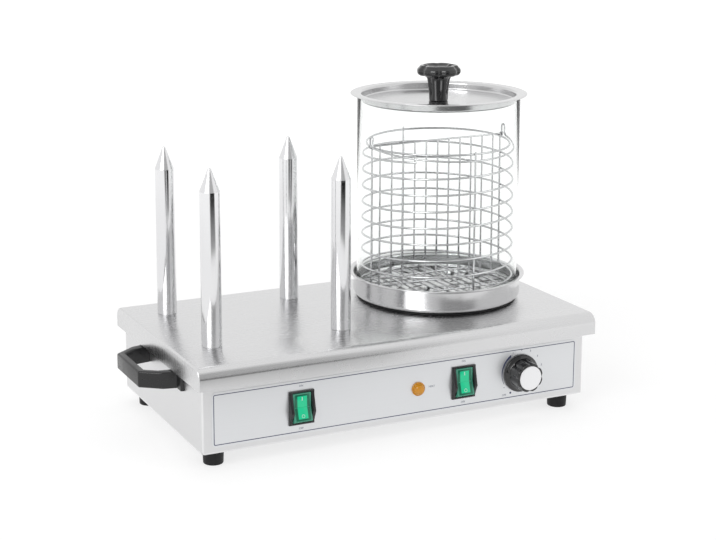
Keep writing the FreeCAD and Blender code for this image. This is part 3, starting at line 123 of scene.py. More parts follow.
def noise_of(tree, place, scale, detail=3.0, roughness=0.55):
    node = tree.nodes.new("ShaderNodeTexNoise")
    wire_up(tree, place, node.inputs["Vector"])
    node.inputs["Scale"].default_value = scale
    node.inputs["Detail"].default_value = detail
    node.inputs["Roughness"].default_value = roughness
    return node.outputs["Fac"]


def new_group(name, inputs, outputs):
    """A shared effect with named inputs (name, kind, value) and outputs (name, kind)."""
    tree = bpy.data.node_groups.new(name, "ShaderNodeTree")
    for label, kind, value in inputs:
        socket = tree.interface.new_socket(name=label, in_out="INPUT", socket_type=kind)
        if value is not None:
            socket.default_value = value
    for label, kind in outputs:
        tree.interface.new_socket(name=label, in_out="OUTPUT", socket_type=kind)
    return tree, tree.nodes.new("NodeGroupInput"), tree.nodes.new("NodeGroupOutput")


FLOAT = "NodeSocketFloat"
VECTOR = "NodeSocketVector"

# Steel grain: fine drawn lines, and a slow change in their depth

steel_grain, given, made = new_group(
    "steel_grain",
    [("Lines", VECTOR, None), ("Place", VECTOR, None), ("Smooth", FLOAT, 0.2), ("Rough", FLOAT, 0.35)],
    [("Roughness", FLOAT), ("Height", FLOAT), ("Shade", FLOAT)])
fine = noise_of(steel_grain, given.outputs["Lines"], 1.0, 4.0, 0.7)
slow = noise_of(steel_grain, given.outputs["Place"], 9.0, 2.0)
both = value_of(steel_grain, "MULTIPLY_ADD", fine, 0.6, value_of(steel_grain, "MULTIPLY", slow, 0.4))
wire_up(steel_grain, spread_of(steel_grain, both, 0.3, 0.7, given.outputs["Smooth"],
                               given.outputs["Rough"]), made.inputs["Roughness"])
wire_up(steel_grain, fine, made.inputs["Height"])
wire_up(steel_grain, spread_of(steel_grain, both, 0.25, 0.75, 0.9, 1.0), made.inputs["Shade"])

# Handling marks: faint finger smears and dried drops

handling, given, made = new_group(
    "handling_marks", [("Place", VECTOR, None), ("Amount", FLOAT, 0.1)], [("Mask", FLOAT)])
smears = spread_of(handling, noise_of(handling, given.outputs["Place"], 14.0, 4.0, 0.6), 0.5, 0.75)
drops = spread_of(handling, noise_of(handling, given.outputs["Place"], 160.0, 1.0), 0.68, 0.74)
wire_up(handling, value_of(handling, "MULTIPLY", value_of(handling, "MAXIMUM", smears, drops),
                           given.outputs["Amount"]), made.inputs["Mask"])

# Painted edge highlight: a mask along the edges of a box, where two faces meet, under which steel is given a
# lighter colour

painted_edge_highlight, given, made = new_group(
    "painted_edge_highlight", [("Place", VECTOR, None), ("Middle", VECTOR, (0, 0, 0)), ("Half", VECTOR, (1, 1, 1)),
                 ("Width", FLOAT, 0.002)], [("Mask", FLOAT)])
away = painted_edge_highlight.nodes.new("ShaderNodeVectorMath")
away.operation = "SUBTRACT"
wire_up(painted_edge_highlight, given.outputs["Place"], away.inputs[0])
wire_up(painted_edge_highlight, given.outputs["Middle"], away.inputs[1])
distance = painted_edge_highlight.nodes.new("ShaderNodeVectorMath")
distance.operation = "ABSOLUTE"
wire_up(painted_edge_highlight, away.outputs[0], distance.inputs[0])
inside = painted_edge_highlight.nodes.new("ShaderNodeVectorMath")
inside.operation = "SUBTRACT"
wire_up(painted_edge_highlight, distance.outputs[0], inside.inputs[0])
wire_up(painted_edge_highlight, given.outputs["Half"], inside.inputs[1])
split = painted_edge_highlight.nodes.new("ShaderNodeSeparateXYZ")
wire_up(painted_edge_highlight, inside.outputs[0], split.inputs[0])
x, y, z = split.outputs
low_pair = value_of(painted_edge_highlight, "MINIMUM", x, y)
high_pair = value_of(painted_edge_highlight, "MAXIMUM", x, y)
second = value_of(painted_edge_highlight, "MAXIMUM", low_pair, value_of(painted_edge_highlight, "MINIMUM", high_pair, z))
uneven = value_of(painted_edge_highlight, "MULTIPLY", noise_of(painted_edge_highlight, given.outputs["Place"], 60.0),
                  given.outputs["Width"])
near = value_of(painted_edge_highlight, "ADD", second, uneven)
wire_up(painted_edge_highlight, spread_of(painted_edge_highlight, near, value_of(painted_edge_highlight, "MULTIPLY", given.outputs["Width"], -1.0),
                            0.0), made.inputs["Mask"])

# Moulded skin: the fine spark-eroded texture of plastic and rubber, with dust in its hollows

moulded_skin, given, made = new_group(
    "moulded_skin", [("Place", VECTOR, None), ("Fineness", FLOAT, 900.0), ("Smooth", FLOAT, 0.2),
                     ("Rough", FLOAT, 0.35)],
    [("Roughness", FLOAT), ("Height", FLOAT), ("Dust", FLOAT)])
grain = moulded_skin.nodes.new("ShaderNodeTexNoise")
grain.inputs["Detail"].default_value = 2.0
wire_up(moulded_skin, given.outputs["Place"], grain.inputs["Vector"])
wire_up(moulded_skin, given.outputs["Fineness"], grain.inputs["Scale"])
cloudy = noise_of(moulded_skin, given.outputs["Place"], 30.0, 4.0)
wire_up(moulded_skin, spread_of(moulded_skin, cloudy, 0.3, 0.7, given.outputs["Smooth"],
                                given.outputs["Rough"]), made.inputs["Roughness"])
wire_up(moulded_skin, grain.outputs["Fac"], made.inputs["Height"])
wire_up(moulded_skin, spread_of(moulded_skin, cloudy, 0.55, 0.8), made.inputs["Dust"])


class Finish:
    """A material in the making: its shader, and sockets for the place on the piece."""

    def __init__(self, name, color, metallic=0.0, roughness=0.3, **shader_values):
        self.material = bpy.data.materials.new(name)
        self.material.use_nodes = True
        self.tree = self.material.node_tree
        self.shader = self.tree.nodes["Principled BSDF"]
        self.shader.inputs["Base Color"].default_value = (*color, 1.0)
        self.shader.inputs["Metallic"].default_value = metallic
        self.shader.inputs["Roughness"].default_value = roughness
        for label, value in shader_values.items():
            self.shader.inputs[label.replace("_", " ")].default_value = value
        self.place = self.tree.nodes.new("ShaderNodeTexCoord").outputs["Object"]

    def centred(self, middle, scale=(1, 1, 1)):
        """The place on the piece, counted from a point and stretched."""
        mapping = self.tree.nodes.new("ShaderNodeMapping")
        mapping.inputs["Scale"].default_value = scale
        mapping.inputs["Location"].default_value = [-m * s for m, s in zip(middle, scale)]
        wire_up(self.tree, self.place, mapping.inputs["Vector"])
        return mapping.outputs["Vector"]

    def effect(self, group, **given_values):
        node = self.tree.nodes.new("ShaderNodeGroup")
        node.node_tree = group
        for label, value in given_values.items():
            if isinstance(value, bpy.types.NodeSocket):
                wire_up(self.tree, value, node.inputs[label])
            else:
                node.inputs[label].default_value = value
        return node.outputs

    def bump(self, height, depth):
        node = self.tree.nodes.new("ShaderNodeBump")
        node.inputs["Strength"].default_value = 1.0
        node.inputs["Distance"].default_value = depth
        wire_up(self.tree, height, node.inputs["Height"])
        wire_up(self.tree, node.outputs["Normal"], self.shader.inputs["Normal"])

    def mix(self, mask, first, second):
        """A colour that goes from the first to the second with the mask."""
        node = self.tree.nodes.new("ShaderNodeMix")
        node.data_type = "RGBA"
        wire_up(self.tree, mask, node.inputs["Factor"])
        for slot, item in ((6, first), (7, second)):
            if isinstance(item, bpy.types.NodeSocket):
                wire_up(self.tree, item, node.inputs[slot])
            else:
                node.inputs[slot].default_value = item if len(item) == 4 else (*item, 1.0)
        return node.outputs[2]

    def feed(self, label, socket):
        wire_up(self.tree, socket, self.shader.inputs[label])


def spun_place(finish, middle, fineness):
    """Lines that run round an axis: they change only with the distance from it and with height."""
    place = finish.centred(middle)
    split_place = finish.tree.nodes.new("ShaderNodeSeparateXYZ")
    wire_up(finish.tree, place, split_place.inputs[0])
    x_place, y_place, z_place = split_place.outputs
    square = value_of(finish.tree, "MULTIPLY", x_place, x_place)
    square = value_of(finish.tree, "MULTIPLY_ADD", y_place, y_place, square)
    radius = value_of(finish.tree, "SQRT", square)
    joined = finish.tree.nodes.new("ShaderNodeCombineXYZ")
    wire_up(finish.tree, value_of(finish.tree, "MULTIPLY", radius, fineness), joined.inputs[0])
    wire_up(finish.tree, value_of(finish.tree, "MULTIPLY", z_place, fineness), joined.inputs[1])
    return joined.outputs[0]


def steel(name, color, smooth, rough, depth, lines=None, around=None, marks=0.06, highlight_edges=None):
    """Bare steel: drawn lines along a direction or round an axis, marks, and a painted highlight that
    lightens the colour along a box's edges.
    """
    finish = Finish(name, color, metallic=1.0)
    line_place = (spun_place(finish, around, 1400.0) if around
                  else finish.centred((0, 0, 0), lines))
    grain_out = finish.effect(steel_grain, Lines=line_place, Place=finish.place,
                              Smooth=smooth, Rough=rough)
    mark = finish.effect(handling, Place=finish.place, Amount=marks)["Mask"]
    finish.feed("Roughness", value_of(finish.tree, "ADD", grain_out["Roughness"], mark))
    shade = finish.mix(grain_out["Shade"], tuple(c * 0.55 for c in color), color)
    # Lighter colour along the box's edges: a painted highlight
    if highlight_edges:
        edge_highlight_mask = finish.effect(painted_edge_highlight, Place=finish.place, Middle=highlight_edges[0], Half=highlight_edges[1],
                               Width=0.0016)["Mask"]
        shade = finish.mix(edge_highlight_mask, shade, tuple(min(1.0, c * 1.1) for c in color))
    finish.feed("Base Color", shade)
    finish.bump(grain_out["Height"], depth)
    return finish.material


def plastic(name, color, smooth, rough, fineness, depth, dust, **shader_values):
    """Moulded plastic or rubber."""
    finish = Finish(name, color, **shader_values)
    skin = finish.effect(moulded_skin, Place=finish.place, Fineness=fineness, Smooth=smooth, Rough=rough)
    finish.feed("Roughness", skin["Roughness"])
    mask = value_of(finish.tree, "MULTIPLY", skin["Dust"], 0.5)
    finish.feed("Base Color", finish.mix(mask, color, dust))
    finish.bump(skin["Height"], depth)
    return finish.material


LEVEL_LINES = (7, 7, 1500)
COVER_LINES = (7, 1500, 7)
# The casing's steel has a painted highlight, a lighter colour along the casing box's edges
satin_steel = steel("satin_steel", (0.74, 0.74, 0.745), 0.28, 0.42, 0.00002, lines=LEVEL_LINES,
                    highlight_edges=(CASING_MIDDLE, CASING_HALF))
bright_steel = steel("bright_steel", (0.70, 0.70, 0.705), 0.22, 0.30, 0.000002, lines=COVER_LINES,
                     marks=0.03)
spike_steel = steel("spike_steel", (0.80, 0.80, 0.81), 0.12, 0.18, 0.000002, lines=(4, 4, 1700))
pan_steel = steel("pan_steel", (0.68, 0.68, 0.685), 0.14, 0.24, 0.000005, around=AXIS)
lid_steel = steel("lid_steel", (0.66, 0.66, 0.665), 0.14, 0.24, 0.000005, around=AXIS)
galvanised = steel("galvanised", (0.55, 0.56, 0.58), 0.35, 0.55, 0.00003, lines=(160, 160, 160), marks=0.2)
heater_steel = steel("heater_steel", (0.36, 0.34, 0.32), 0.35, 0.5, 0.00002, lines=(90, 90, 600))
wire_chrome = steel("wire_chrome", (0.62, 0.62, 0.63), 0.14, 0.24, 0.000003, lines=(300, 300, 300),
                    marks=0.05)
cap_silver = steel("cap_silver", (0.88, 0.88, 0.89), 0.25, 0.40, 0.00001, lines=(900, 7, 900))
foil = steel("foil", (0.76, 0.77, 0.785), 0.30, 0.40, 0.000008, lines=LEVEL_LINES, marks=0.03)
foil.node_tree.nodes["Principled BSDF"].inputs["Metallic"].default_value = 0.85

black_rubber = plastic("black_rubber", (0.012, 0.012, 0.013), 0.45, 0.65, 700.0, 0.00006,
                       (0.03, 0.03, 0.03), Specular_IOR_Level=0.3)
handle_plastic = plastic("handle_plastic", (0.010, 0.010, 0.011), 0.24, 0.36, 900.0, 0.00003,
                         (0.022, 0.022, 0.022))
switch_plastic = plastic("switch_plastic", (0.016, 0.016, 0.017), 0.18, 0.28, 1100.0, 0.00002,
                         (0.04, 0.04, 0.04))
knob_plastic = plastic("knob_plastic", (0.010, 0.010, 0.011), 0.05, 0.11, 300.0, 0.000006,
                       (0.02, 0.02, 0.02), Coat_Weight=0.4)
ivory_plastic = plastic("ivory_plastic", (0.72, 0.68, 0.58), 0.3, 0.45, 700.0, 0.00003,
                        (0.6, 0.56, 0.46))
ceramic_white = plastic("ceramic_white", (0.86, 0.85, 0.80), 0.4, 0.6, 900.0, 0.00005,
                        (0.75, 0.73, 0.68))
rocker_rim = plastic("rocker_rim", (0.06, 0.30, 0.20), 0.12, 0.2, 900.0, 0.00001, (0.06, 0.26, 0.18))
rocker_band = plastic("rocker_band", (0.004, 0.15, 0.08), 0.10, 0.18, 900.0, 0.00001,
                      (0.02, 0.12, 0.09))
rocker_glow = plastic("rocker_glow", (0.006, 0.50, 0.24), 0.10, 0.18, 900.0, 0.00001,
                      (0.006, 0.44, 0.21), Emission_Color=(0.01, 0.55, 0.27, 1), Emission_Strength=0.25)
rocker_mark = plastic("rocker_mark", (0.50, 0.74, 0.64), 0.3, 0.4, 900.0, 0.00001, (0.7, 0.75, 0.73))
panel_ink = plastic("panel_ink", (0.035, 0.045, 0.11), 0.35, 0.5, 1500.0, 0.00001, (0.06, 0.07, 0.13))
amber_lens = plastic("amber_lens", (0.78, 0.34, 0.02), 0.05, 0.12, 700.0, 0.000006,
                     (0.70, 0.30, 0.02), Transmission_Weight=0.2)

clear = Finish("clear_glass", (0.985, 0.995, 0.99), roughness=0.0, Transmission_Weight=1.0, IOR=1.12)
smear = clear.effect(handling, Place=clear.place, Amount=0.05)["Mask"]
clear.feed("Roughness", smear)
clear_glass = clear.material


# Making pieces

def clear_selection():
    if bpy.context.object and bpy.context.object.mode != "OBJECT":
        bpy.ops.object.mode_set(mode="OBJECT")
    bpy.ops.object.select_all(action="DESELECT")


def pick(piece):
    """Select one piece alone and make it the active one."""
    clear_selection()
    piece.select_set(True)
    bpy.context.view_layer.objects.active = piece


def choose(piece, kind, test):
    """Select the points, edges or faces of a piece that pass a test, and open it for shaping."""
    pick(piece)
    bpy.context.tool_settings.mesh_select_mode = [kind == each for each in ("VERT", "EDGE", "FACE")]
    mesh = piece.data
    for item in (*mesh.vertices, *mesh.edges, *mesh.polygons):
        item.select = False
    items = {"VERT": mesh.vertices, "EDGE": mesh.edges, "FACE": mesh.polygons}[kind]
    chosen = [item for item in items if test(item)]
    for item in chosen:
        item.select = True
        if kind != "VERT":
            for number in item.vertices:
                mesh.vertices[number].select = True
    if kind == "FACE":
        chosen_keys = {key for item in chosen for key in item.edge_keys}
        for edge in mesh.edges:
            edge.select = edge.key in chosen_keys
    bpy.ops.object.mode_set(mode="EDIT")


def ends_of(piece, edge):
    return [piece.data.vertices[number].co for number in edge.vertices]


def set_down(piece):
    """Put the piece's place, turn and size into its mesh."""
    pick(piece)
    bpy.ops.object.transform_apply(location=True, rotation=True, scale=True)


def shade(piece, angle=40):
    pick(piece)
    bpy.ops.object.shade_smooth_by_angle(angle=math.radians(angle))


def tidy_mesh(piece, gap=0.00002):
    """Merge doubled points and turn every face outwards."""
    choose(piece, "VERT", lambda vertex: True)
    bpy.ops.mesh.remove_doubles(threshold=gap)
    bpy.ops.mesh.normals_make_consistent(inside=False)
    bpy.ops.object.mode_set(mode="OBJECT")


def apply_modifiers(piece):
    pick(piece)
    for modifier in list(piece.modifiers):
        bpy.ops.object.modifier_apply(modifier=modifier.name)


def round_edges(piece, width, segments=3, angle=30):
    """Roll the sharp edges over to a small radius."""
    bevel = piece.modifiers.new("Edges", "BEVEL")
    bevel.width = width
    bevel.segments = segments
    bevel.limit_method = "ANGLE"
    bevel.angle_limit = math.radians(angle)
    bevel.harden_normals = False
    apply_modifiers(piece)


def finish_piece(piece, name, body, material, slot, *stands_for):
    """Name the piece, give it its finish and let it ride on its body."""
    piece.name = name
    piece.data.name = name
    piece.data.materials.clear()
    piece.data.materials.append(material)
    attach(piece, body)
    if stands_for:
        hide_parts(*stands_for)
    return piece


TIP = 0.000005


def turned(stations, steps=96, place=(0, 0, 0), turn=(0, 0, 0)):
    """A piece turned about Z: a ring drawn out from one (radius, height) station to the next."""
    clear_selection()
    radius, height = stations[0]
    radius = max(radius, TIP)
    bpy.ops.mesh.primitive_circle_add(vertices=steps, radius=radius, location=(0, 0, 0))
    piece = bpy.context.object
    choose(piece, "VERT", lambda vertex: True)
    bpy.ops.transform.translate(value=(0, 0, height))
    for next_radius, next_height in stations[1:]:
        next_radius = max(next_radius, TIP)
        bpy.ops.mesh.extrude_region_move(
            TRANSFORM_OT_translate={"value": (0, 0, next_height - height)})
        share = next_radius / radius
        bpy.ops.transform.resize(value=(share, share, 1), center_override=(0, 0, next_height))
        radius, height = next_radius, next_height
    bpy.ops.object.mode_set(mode="OBJECT")
    tidy_mesh(piece)
    piece.location = place
    piece.rotation_euler = turn
    set_down(piece)
    return piece


def bend_round(middle, radius, start, end, steps=5):
    """Stations of a rounded corner: an arc about a (radius, height) middle, in degrees."""
    found = []
    for step in range(steps + 1):
        angle = math.radians(start + (end - start) * step / steps)
        found.append((middle[0] + radius * math.cos(angle), middle[1] + radius * math.sin(angle)))
    return found


def bent_wire(points, radius, closed=False, fineness=3):
    """A round wire along a run of points."""
    clear_selection()
    bpy.ops.curve.primitive_nurbs_path_add(location=(0, 0, 0))
    wire = bpy.context.object
    line = wire.data
    line.dimensions = "3D"
    line.splines.clear()
    spline = line.splines.new("POLY")
    spline.points.add(len(points) - 1)
    for point, spot in zip(spline.points, points):
        point.co = (*spot, 1)
    spline.use_cyclic_u = closed
    line.bevel_depth = radius
    line.bevel_resolution = fineness
    line.use_fill_caps = True
    line.twist_mode = "MINIMUM"
    pick(wire)
    bpy.ops.object.convert(target="MESH")
    return bpy.context.object


def straight_wire(start, end, radius, sides=14):
    """A cut length of wire with its ends broken."""
    start, end = Vector(start), Vector(end)
    clear_selection()
    bpy.ops.mesh.primitive_cylinder_add(vertices=sides, radius=radius, depth=(end - start).length,
                                        location=(start + end) / 2)
    rod = bpy.context.object
    rod.rotation_mode = "QUATERNION"
    rod.rotation_quaternion = (end - start).to_track_quat("Z", "Y")
    set_down(rod)
    round_edges(rod, radius * 0.35, 2, 50)
    return rod


def join(pieces):
    clear_selection()
    for piece in pieces:
        piece.select_set(True)
    bpy.context.view_layer.objects.active = pieces[0]
    if len(pieces) > 1:
        bpy.ops.object.join()
    return bpy.context.object


# Top cover: a folded sheet, rolled to a bullnose at the front and the rear, open below

SHEET = 0.0012
BULLNOSE = 0.0129
END_FOLD = 0.0022
clear_selection()
bpy.ops.mesh.primitive_cube_add(size=1, location=(cover_low + cover_high) / 2)
cover = bpy.context.object
cover.scale = cover_high - cover_low
set_down(cover)


def long_top_edge(edge):
    """The front and the rear edge of the cover's top, which are rolled; the ends are folded tight."""
    a, b = ends_of(cover, edge)
    return min(a.z, b.z) > COVER_TOP - 0.0001 and abs(a.x - b.x) > 0.1


choose(cover, "EDGE", long_top_edge)
bpy.ops.mesh.bevel(offset=BULLNOSE, segments=12, affect="EDGES")
choose(cover, "FACE", lambda face: face.normal.z < -0.9)
bpy.ops.mesh.delete(type="FACE")
tidy_mesh(cover)
round_edges(cover, END_FOLD, 4, 40)
wall = cover.modifiers.new("Sheet", "SOLIDIFY")
wall.thickness = SHEET
wall.offset = -1
wall.use_even_offset = True
apply_modifiers(cover)


def cut_round(piece, middle, radius, depth):
    """Cut a round hole straight down through a piece."""
    clear_selection()
    bpy.ops.mesh.primitive_cylinder_add(vertices=96, radius=radius, depth=depth, location=middle)
    cutter = bpy.context.object
    hole = piece.modifiers.new("Hole", "BOOLEAN")
    hole.operation = "DIFFERENCE"
    hole.object = cutter
    hole.solver = "EXACT"
    apply_modifiers(piece)
    bpy.data.objects.remove(cutter)


SPIKES = ("spike_front_left", "spike_front_right", "spike_rear_left", "spike_rear_right")
SPIKE_HOLE = 0.0082
PAN_HOLE = 0.080
HOLE_DEPTH = 0.02
spike_middles = {}
for name in SPIKES:
    low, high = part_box(name)
    spike_middles[name] = ((low.x + high.x) / 2, (low.y + high.y) / 2, 0)
    cut_round(cover, (*spike_middles[name][:2], COVER_TOP), SPIKE_HOLE, HOLE_DEPTH)
cut_round(cover, (AXIS[0], AXIS[1], COVER_TOP), PAN_HOLE, HOLE_DEPTH)
shade(cover, 30)
finish_piece(cover, "cover_pressing", "housing", bright_steel, "bright_steel", "top_cover")

# Spikes: polished bars with a broken shoulder and a blunt point

SPIKE = 0.0116
STUD = 0.008
STUD_END = 0.106
SPIKE_FOOT = 0.1216
SHOULDER = 0.2995
SHOULDER_ROUND = 0.0020
POINT = 0.3243
POINT_ROUND = 0.0022
CONE_TURN = 22
for name, middle in spike_middles.items():
    stations = [(0, STUD_END), (STUD, STUD_END), (STUD, SPIKE_FOOT), (SPIKE - 0.0003, SPIKE_FOOT),
                (SPIKE, SPIKE_FOOT + 0.0004), (SPIKE, SHOULDER)]
    stations += bend_round((SPIKE - SHOULDER_ROUND, SHOULDER), SHOULDER_ROUND, 0, CONE_TURN, 4)
    stations += bend_round((0, POINT), POINT_ROUND, CONE_TURN, 90, 7)
    spike = turned(stations, 64, middle)
    shade(spike, 40)
    finish_piece(spike, name.replace("spike", "bar"), "housing", spike_steel, "spike_steel", name)

# Water pan: pressed bowl with a flared, rolled edge

stations = [(0, 0.1075), (0.003, 0.1075), (0.003, 0.1235), (0.097, 0.1235)]
stations += bend_round((0.097, 0.1305), 0.007, -90, 0, 8)
stations += bend_round((0.1075, 0.1492), 0.0035, 180, 110, 5)
stations += bend_round((0.1086, 0.1526), 0.0009, -70, 90, 6)
stations += bend_round((0.1070, 0.1492), 0.0042, 105, 180, 5)
stations += bend_round((0.0970, 0.1305), 0.006, 0, -90, 8)
stations += [(0, 0.1245)]
pan = turned(stations, 128, AXIS)
shade(pan, 40)
finish_piece(pan, "pan_bowl", "housing", pan_steel, "pan_steel", "water_pan")

# Pan gasket: a soft black ring under the pan; it fills the dark gap between the pan and the cover, so its
# black is partly painted shade for that gap

stations = bend_round((0.0985, 0.1225), 0.0010, -90, 90, 5)
stations += [(0.082, 0.1235), (0.082, 0.1215), (0.0985, 0.1215)]
gasket = turned(stations, 96, AXIS)
shade(gasket, 40)
finish_piece(gasket, "gasket_ring_and_gap_shade", "housing", black_rubber, "black_rubber", "pan_gasket")

# Steaming glass: a drawn tube with fire-polished rims

GLASS_OUT, GLASS_IN = 0.100, 0.097
stations = bend_round((GLASS_OUT - 0.0015, glass_low.z + 0.0015), 0.0015, -90, 0, 4)
stations += bend_round((GLASS_OUT - 0.0015, glass_high.z - 0.0015), 0.0015, 0, 180, 8)
stations += bend_round((GLASS_IN + 0.0015, glass_low.z + 0.0015), 0.0015, 180, 270, 4)
tube = turned(stations, 128, AXIS)
shade(tube, 60)
finish_piece(tube, "glass_tube", "glass", clear_glass, "clear_glass", "glass_cylinder")

# Lid: pressed plate with a sunk middle

LID = 0.377
stations = [(0.0033, 0.3670)]
stations += bend_round((0.0925, 0.3700), 0.003, -90, 0, 5)
stations += bend_round((0.0975, LID - 0.002), 0.002, 180, 90, 5)
stations += bend_round((0.1080, LID + 0.0005), 0.0005, -90, 90, 6)
stations += bend_round((0.0975, LID - 0.002), 0.003, 90, 180, 5)
stations += bend_round((0.0925, 0.3700), 0.002, 0, -90, 5)
stations += [(0.0033, 0.3680), (0.0033, 0.3670)]
lid = turned(stations, 128, AXIS)
shade(lid, 40)
finish_piece(lid, "lid_plate", "lid", lid_steel, "lid_steel", "lid")


def press_flutes(piece, middle, count, depth, low, high, first=0.0, sharpness=3.0, fade=0.003):
    """Press even hollows into the side of a turned piece, between two heights."""
    for vertex in piece.data.vertices:
        across = Vector((vertex.co.x - middle[0], vertex.co.y - middle[1]))
        if across.length < 0.004 or not low - fade < vertex.co.z < high + fade:
            continue
        angle = math.atan2(across.y, across.x) - first
        wave = (0.5 + 0.5 * math.cos(count * angle)) ** sharpness
        near = min(1.0, (vertex.co.z - low + fade) / fade, (high + fade - vertex.co.z) / fade)
        share = 1 - depth * wave * near / across.length
        vertex.co.x = middle[0] + across.x * share
        vertex.co.y = middle[1] + across.y * share


# Lid knob: a lobed, dished head on a fluted stem

SEAT = 0.3680
FOOT = 0.3725
stations = [(0.003, SEAT), (0.0098, SEAT)]
stations += bend_round((0.0100, SEAT + 0.0016), 0.0016, -90, 0, 4)
stations += [(0.0118, FOOT + 0.006), (0.0124, FOOT + 0.012), (0.0132, FOOT + 0.018),
             (0.0140, FOOT + 0.022), (0.0152, FOOT + 0.0245), (0.0180, FOOT + 0.0262)]
stations += bend_round((0.0215, FOOT + 0.0322), 0.0055, -90, 60, 12)
stations += bend_round((0.0208, FOOT + 0.0358), 0.0037, 45, 130, 8)
stations += [(0.0165, FOOT + 0.0372), (0.0140, FOOT + 0.0362), (0.008, FOOT + 0.0357),
             (0, FOOT + 0.0356)]
knob = turned([(0, FOOT + 0.018), (0.003, FOOT + 0.018)] + stations, 144, AXIS)
press_flutes(knob, AXIS, 6, 0.0030, FOOT + 0.026, FOOT + 0.040, math.radians(7.8), 4.0)
press_flutes(knob, AXIS, 6, 0.0016, FOOT + 0.004, FOOT + 0.022, math.radians(7.8), 2.0)
shade(knob, 50)
finish_piece(knob, "lid_grip", "lid", knob_plastic, "knob_plastic", "lid_knob")

# Basket: chromed wire, welded where the wires cross

WIRE = 0.00125
FLOOR_WIRE = 0.1381
TOP_RING = 0.315
PINS = 0.3172
RING = 0.0886
UPRIGHT = 0.0908


def ring_of_wire(radius, height):
    clear_selection()
    bpy.ops.mesh.primitive_torus_add(major_radius=radius, minor_radius=WIRE, major_segments=96,
                                     minor_segments=12, location=(AXIS[0], AXIS[1], height))
    ring = bpy.context.object
    set_down(ring)
    return ring


def at_glass(x, y, z):
    return (AXIS[0] + x, AXIS[1] + y, z)


frame_wires = [ring_of_wire(RING, FLOOR_WIRE), ring_of_wire(RING, TOP_RING)]
for side in (-1, 1):
    frame_wires.append(straight_wire(at_glass(0, UPRIGHT * side, 0.1372), at_glass(0, UPRIGHT * side, 0.318),
                                     WIRE))
basket_rings = join(frame_wires)
shade(basket_rings, 50)
finish_piece(basket_rings, "basket_rings", "basket", wire_chrome, "wire_chrome", "basket_frame")

SPIRAL_RADIUS = 0.093
SPIRAL_PITCH = 0.020
SPIRAL_TURNS = 8.25
SPIRAL_START = math.radians(135)
clear_selection()
bpy.ops.mesh.primitive_circle_add(vertices=12, radius=WIRE, location=(SPIRAL_RADIUS, 0, 0.1413),
                                  rotation=(math.radians(90), 0, 0))
spiral = bpy.context.object
set_down(spiral)
screw = spiral.modifiers.new("Winding", "SCREW")
screw.axis = "Z"
screw.angle = 2 * math.pi * SPIRAL_TURNS
screw.screw_offset = SPIRAL_PITCH * SPIRAL_TURNS
screw.steps = int(SPIRAL_TURNS * 72)
screw.render_steps = screw.steps
apply_modifiers(spiral)
choose(spiral, "VERT", lambda vertex: False)
bpy.ops.mesh.select_non_manifold()
bpy.ops.mesh.edge_face_add()
bpy.ops.object.mode_set(mode="OBJECT")
tidy_mesh(spiral)
spiral.rotation_euler = (0, 0, SPIRAL_START)
spiral.location = AXIS
set_down(spiral)
shade(spiral, 60)
finish_piece(spiral, "basket_winding", "basket", wire_chrome, "wire_chrome", "basket_spiral")

DIVIDER_LOW = 0.1424
divider_wires = []
for place in range(-5, 6):
    divider_wires.append(straight_wire(at_glass(0.016 * place, 0, DIVIDER_LOW),
                                       at_glass(0.016 * place, 0, PINS), WIRE * 0.9))
for side in (-1, 1):
    divider_wires.append(straight_wire(at_glass(UPRIGHT * side, 0, DIVIDER_LOW - 0.0008),
                                       at_glass(UPRIGHT * side, 0, PINS), WIRE))
divider_wires.append(straight_wire(at_glass(-0.0915, 0, DIVIDER_LOW), at_glass(0.0915, 0, DIVIDER_LOW),
                                   WIRE))
divider_wires.append(straight_wire(at_glass(-0.096, 0, PINS), at_glass(0.096, 0, PINS), 0.0011))
divider = join(divider_wires)
shade(divider, 50)
finish_piece(divider, "basket_grid", "basket", wire_chrome, "wire_chrome", "basket_divider")

BASE_WIRE = 0.1403
floor_wires = []
for place in range(-3, 4):
    reach = math.sqrt(0.0886 ** 2 - (0.022 * place) ** 2)
    floor_wires.append(straight_wire(at_glass(0.022 * place, -reach, BASE_WIRE),
                                     at_glass(0.022 * place, reach, BASE_WIRE), WIRE * 0.9))
for side in (-1, 1):
    reach = math.sqrt(0.0886 ** 2 - 0.044 ** 2)
    floor_wires.append(straight_wire(at_glass(-reach, 0.044 * side, BASE_WIRE),
                                     at_glass(reach, 0.044 * side, BASE_WIRE), WIRE * 0.9))
basket_floor = join(floor_wires)
shade(basket_floor, 50)
finish_piece(basket_floor, "basket_floor", "basket", wire_chrome, "wire_chrome", "basket_base")

# Bail: a bow round the front of the basket, with a raised ear and an eye at each end

BAIL = 0.0938
DROOP = math.radians(5.8)
EAR_TOP = 0.0124


def bow_point(angle):
    back = -BAIL * math.sin(angle)
    return Vector((BAIL * math.cos(angle), back * math.cos(DROOP), PINS + back * math.sin(DROOP)))


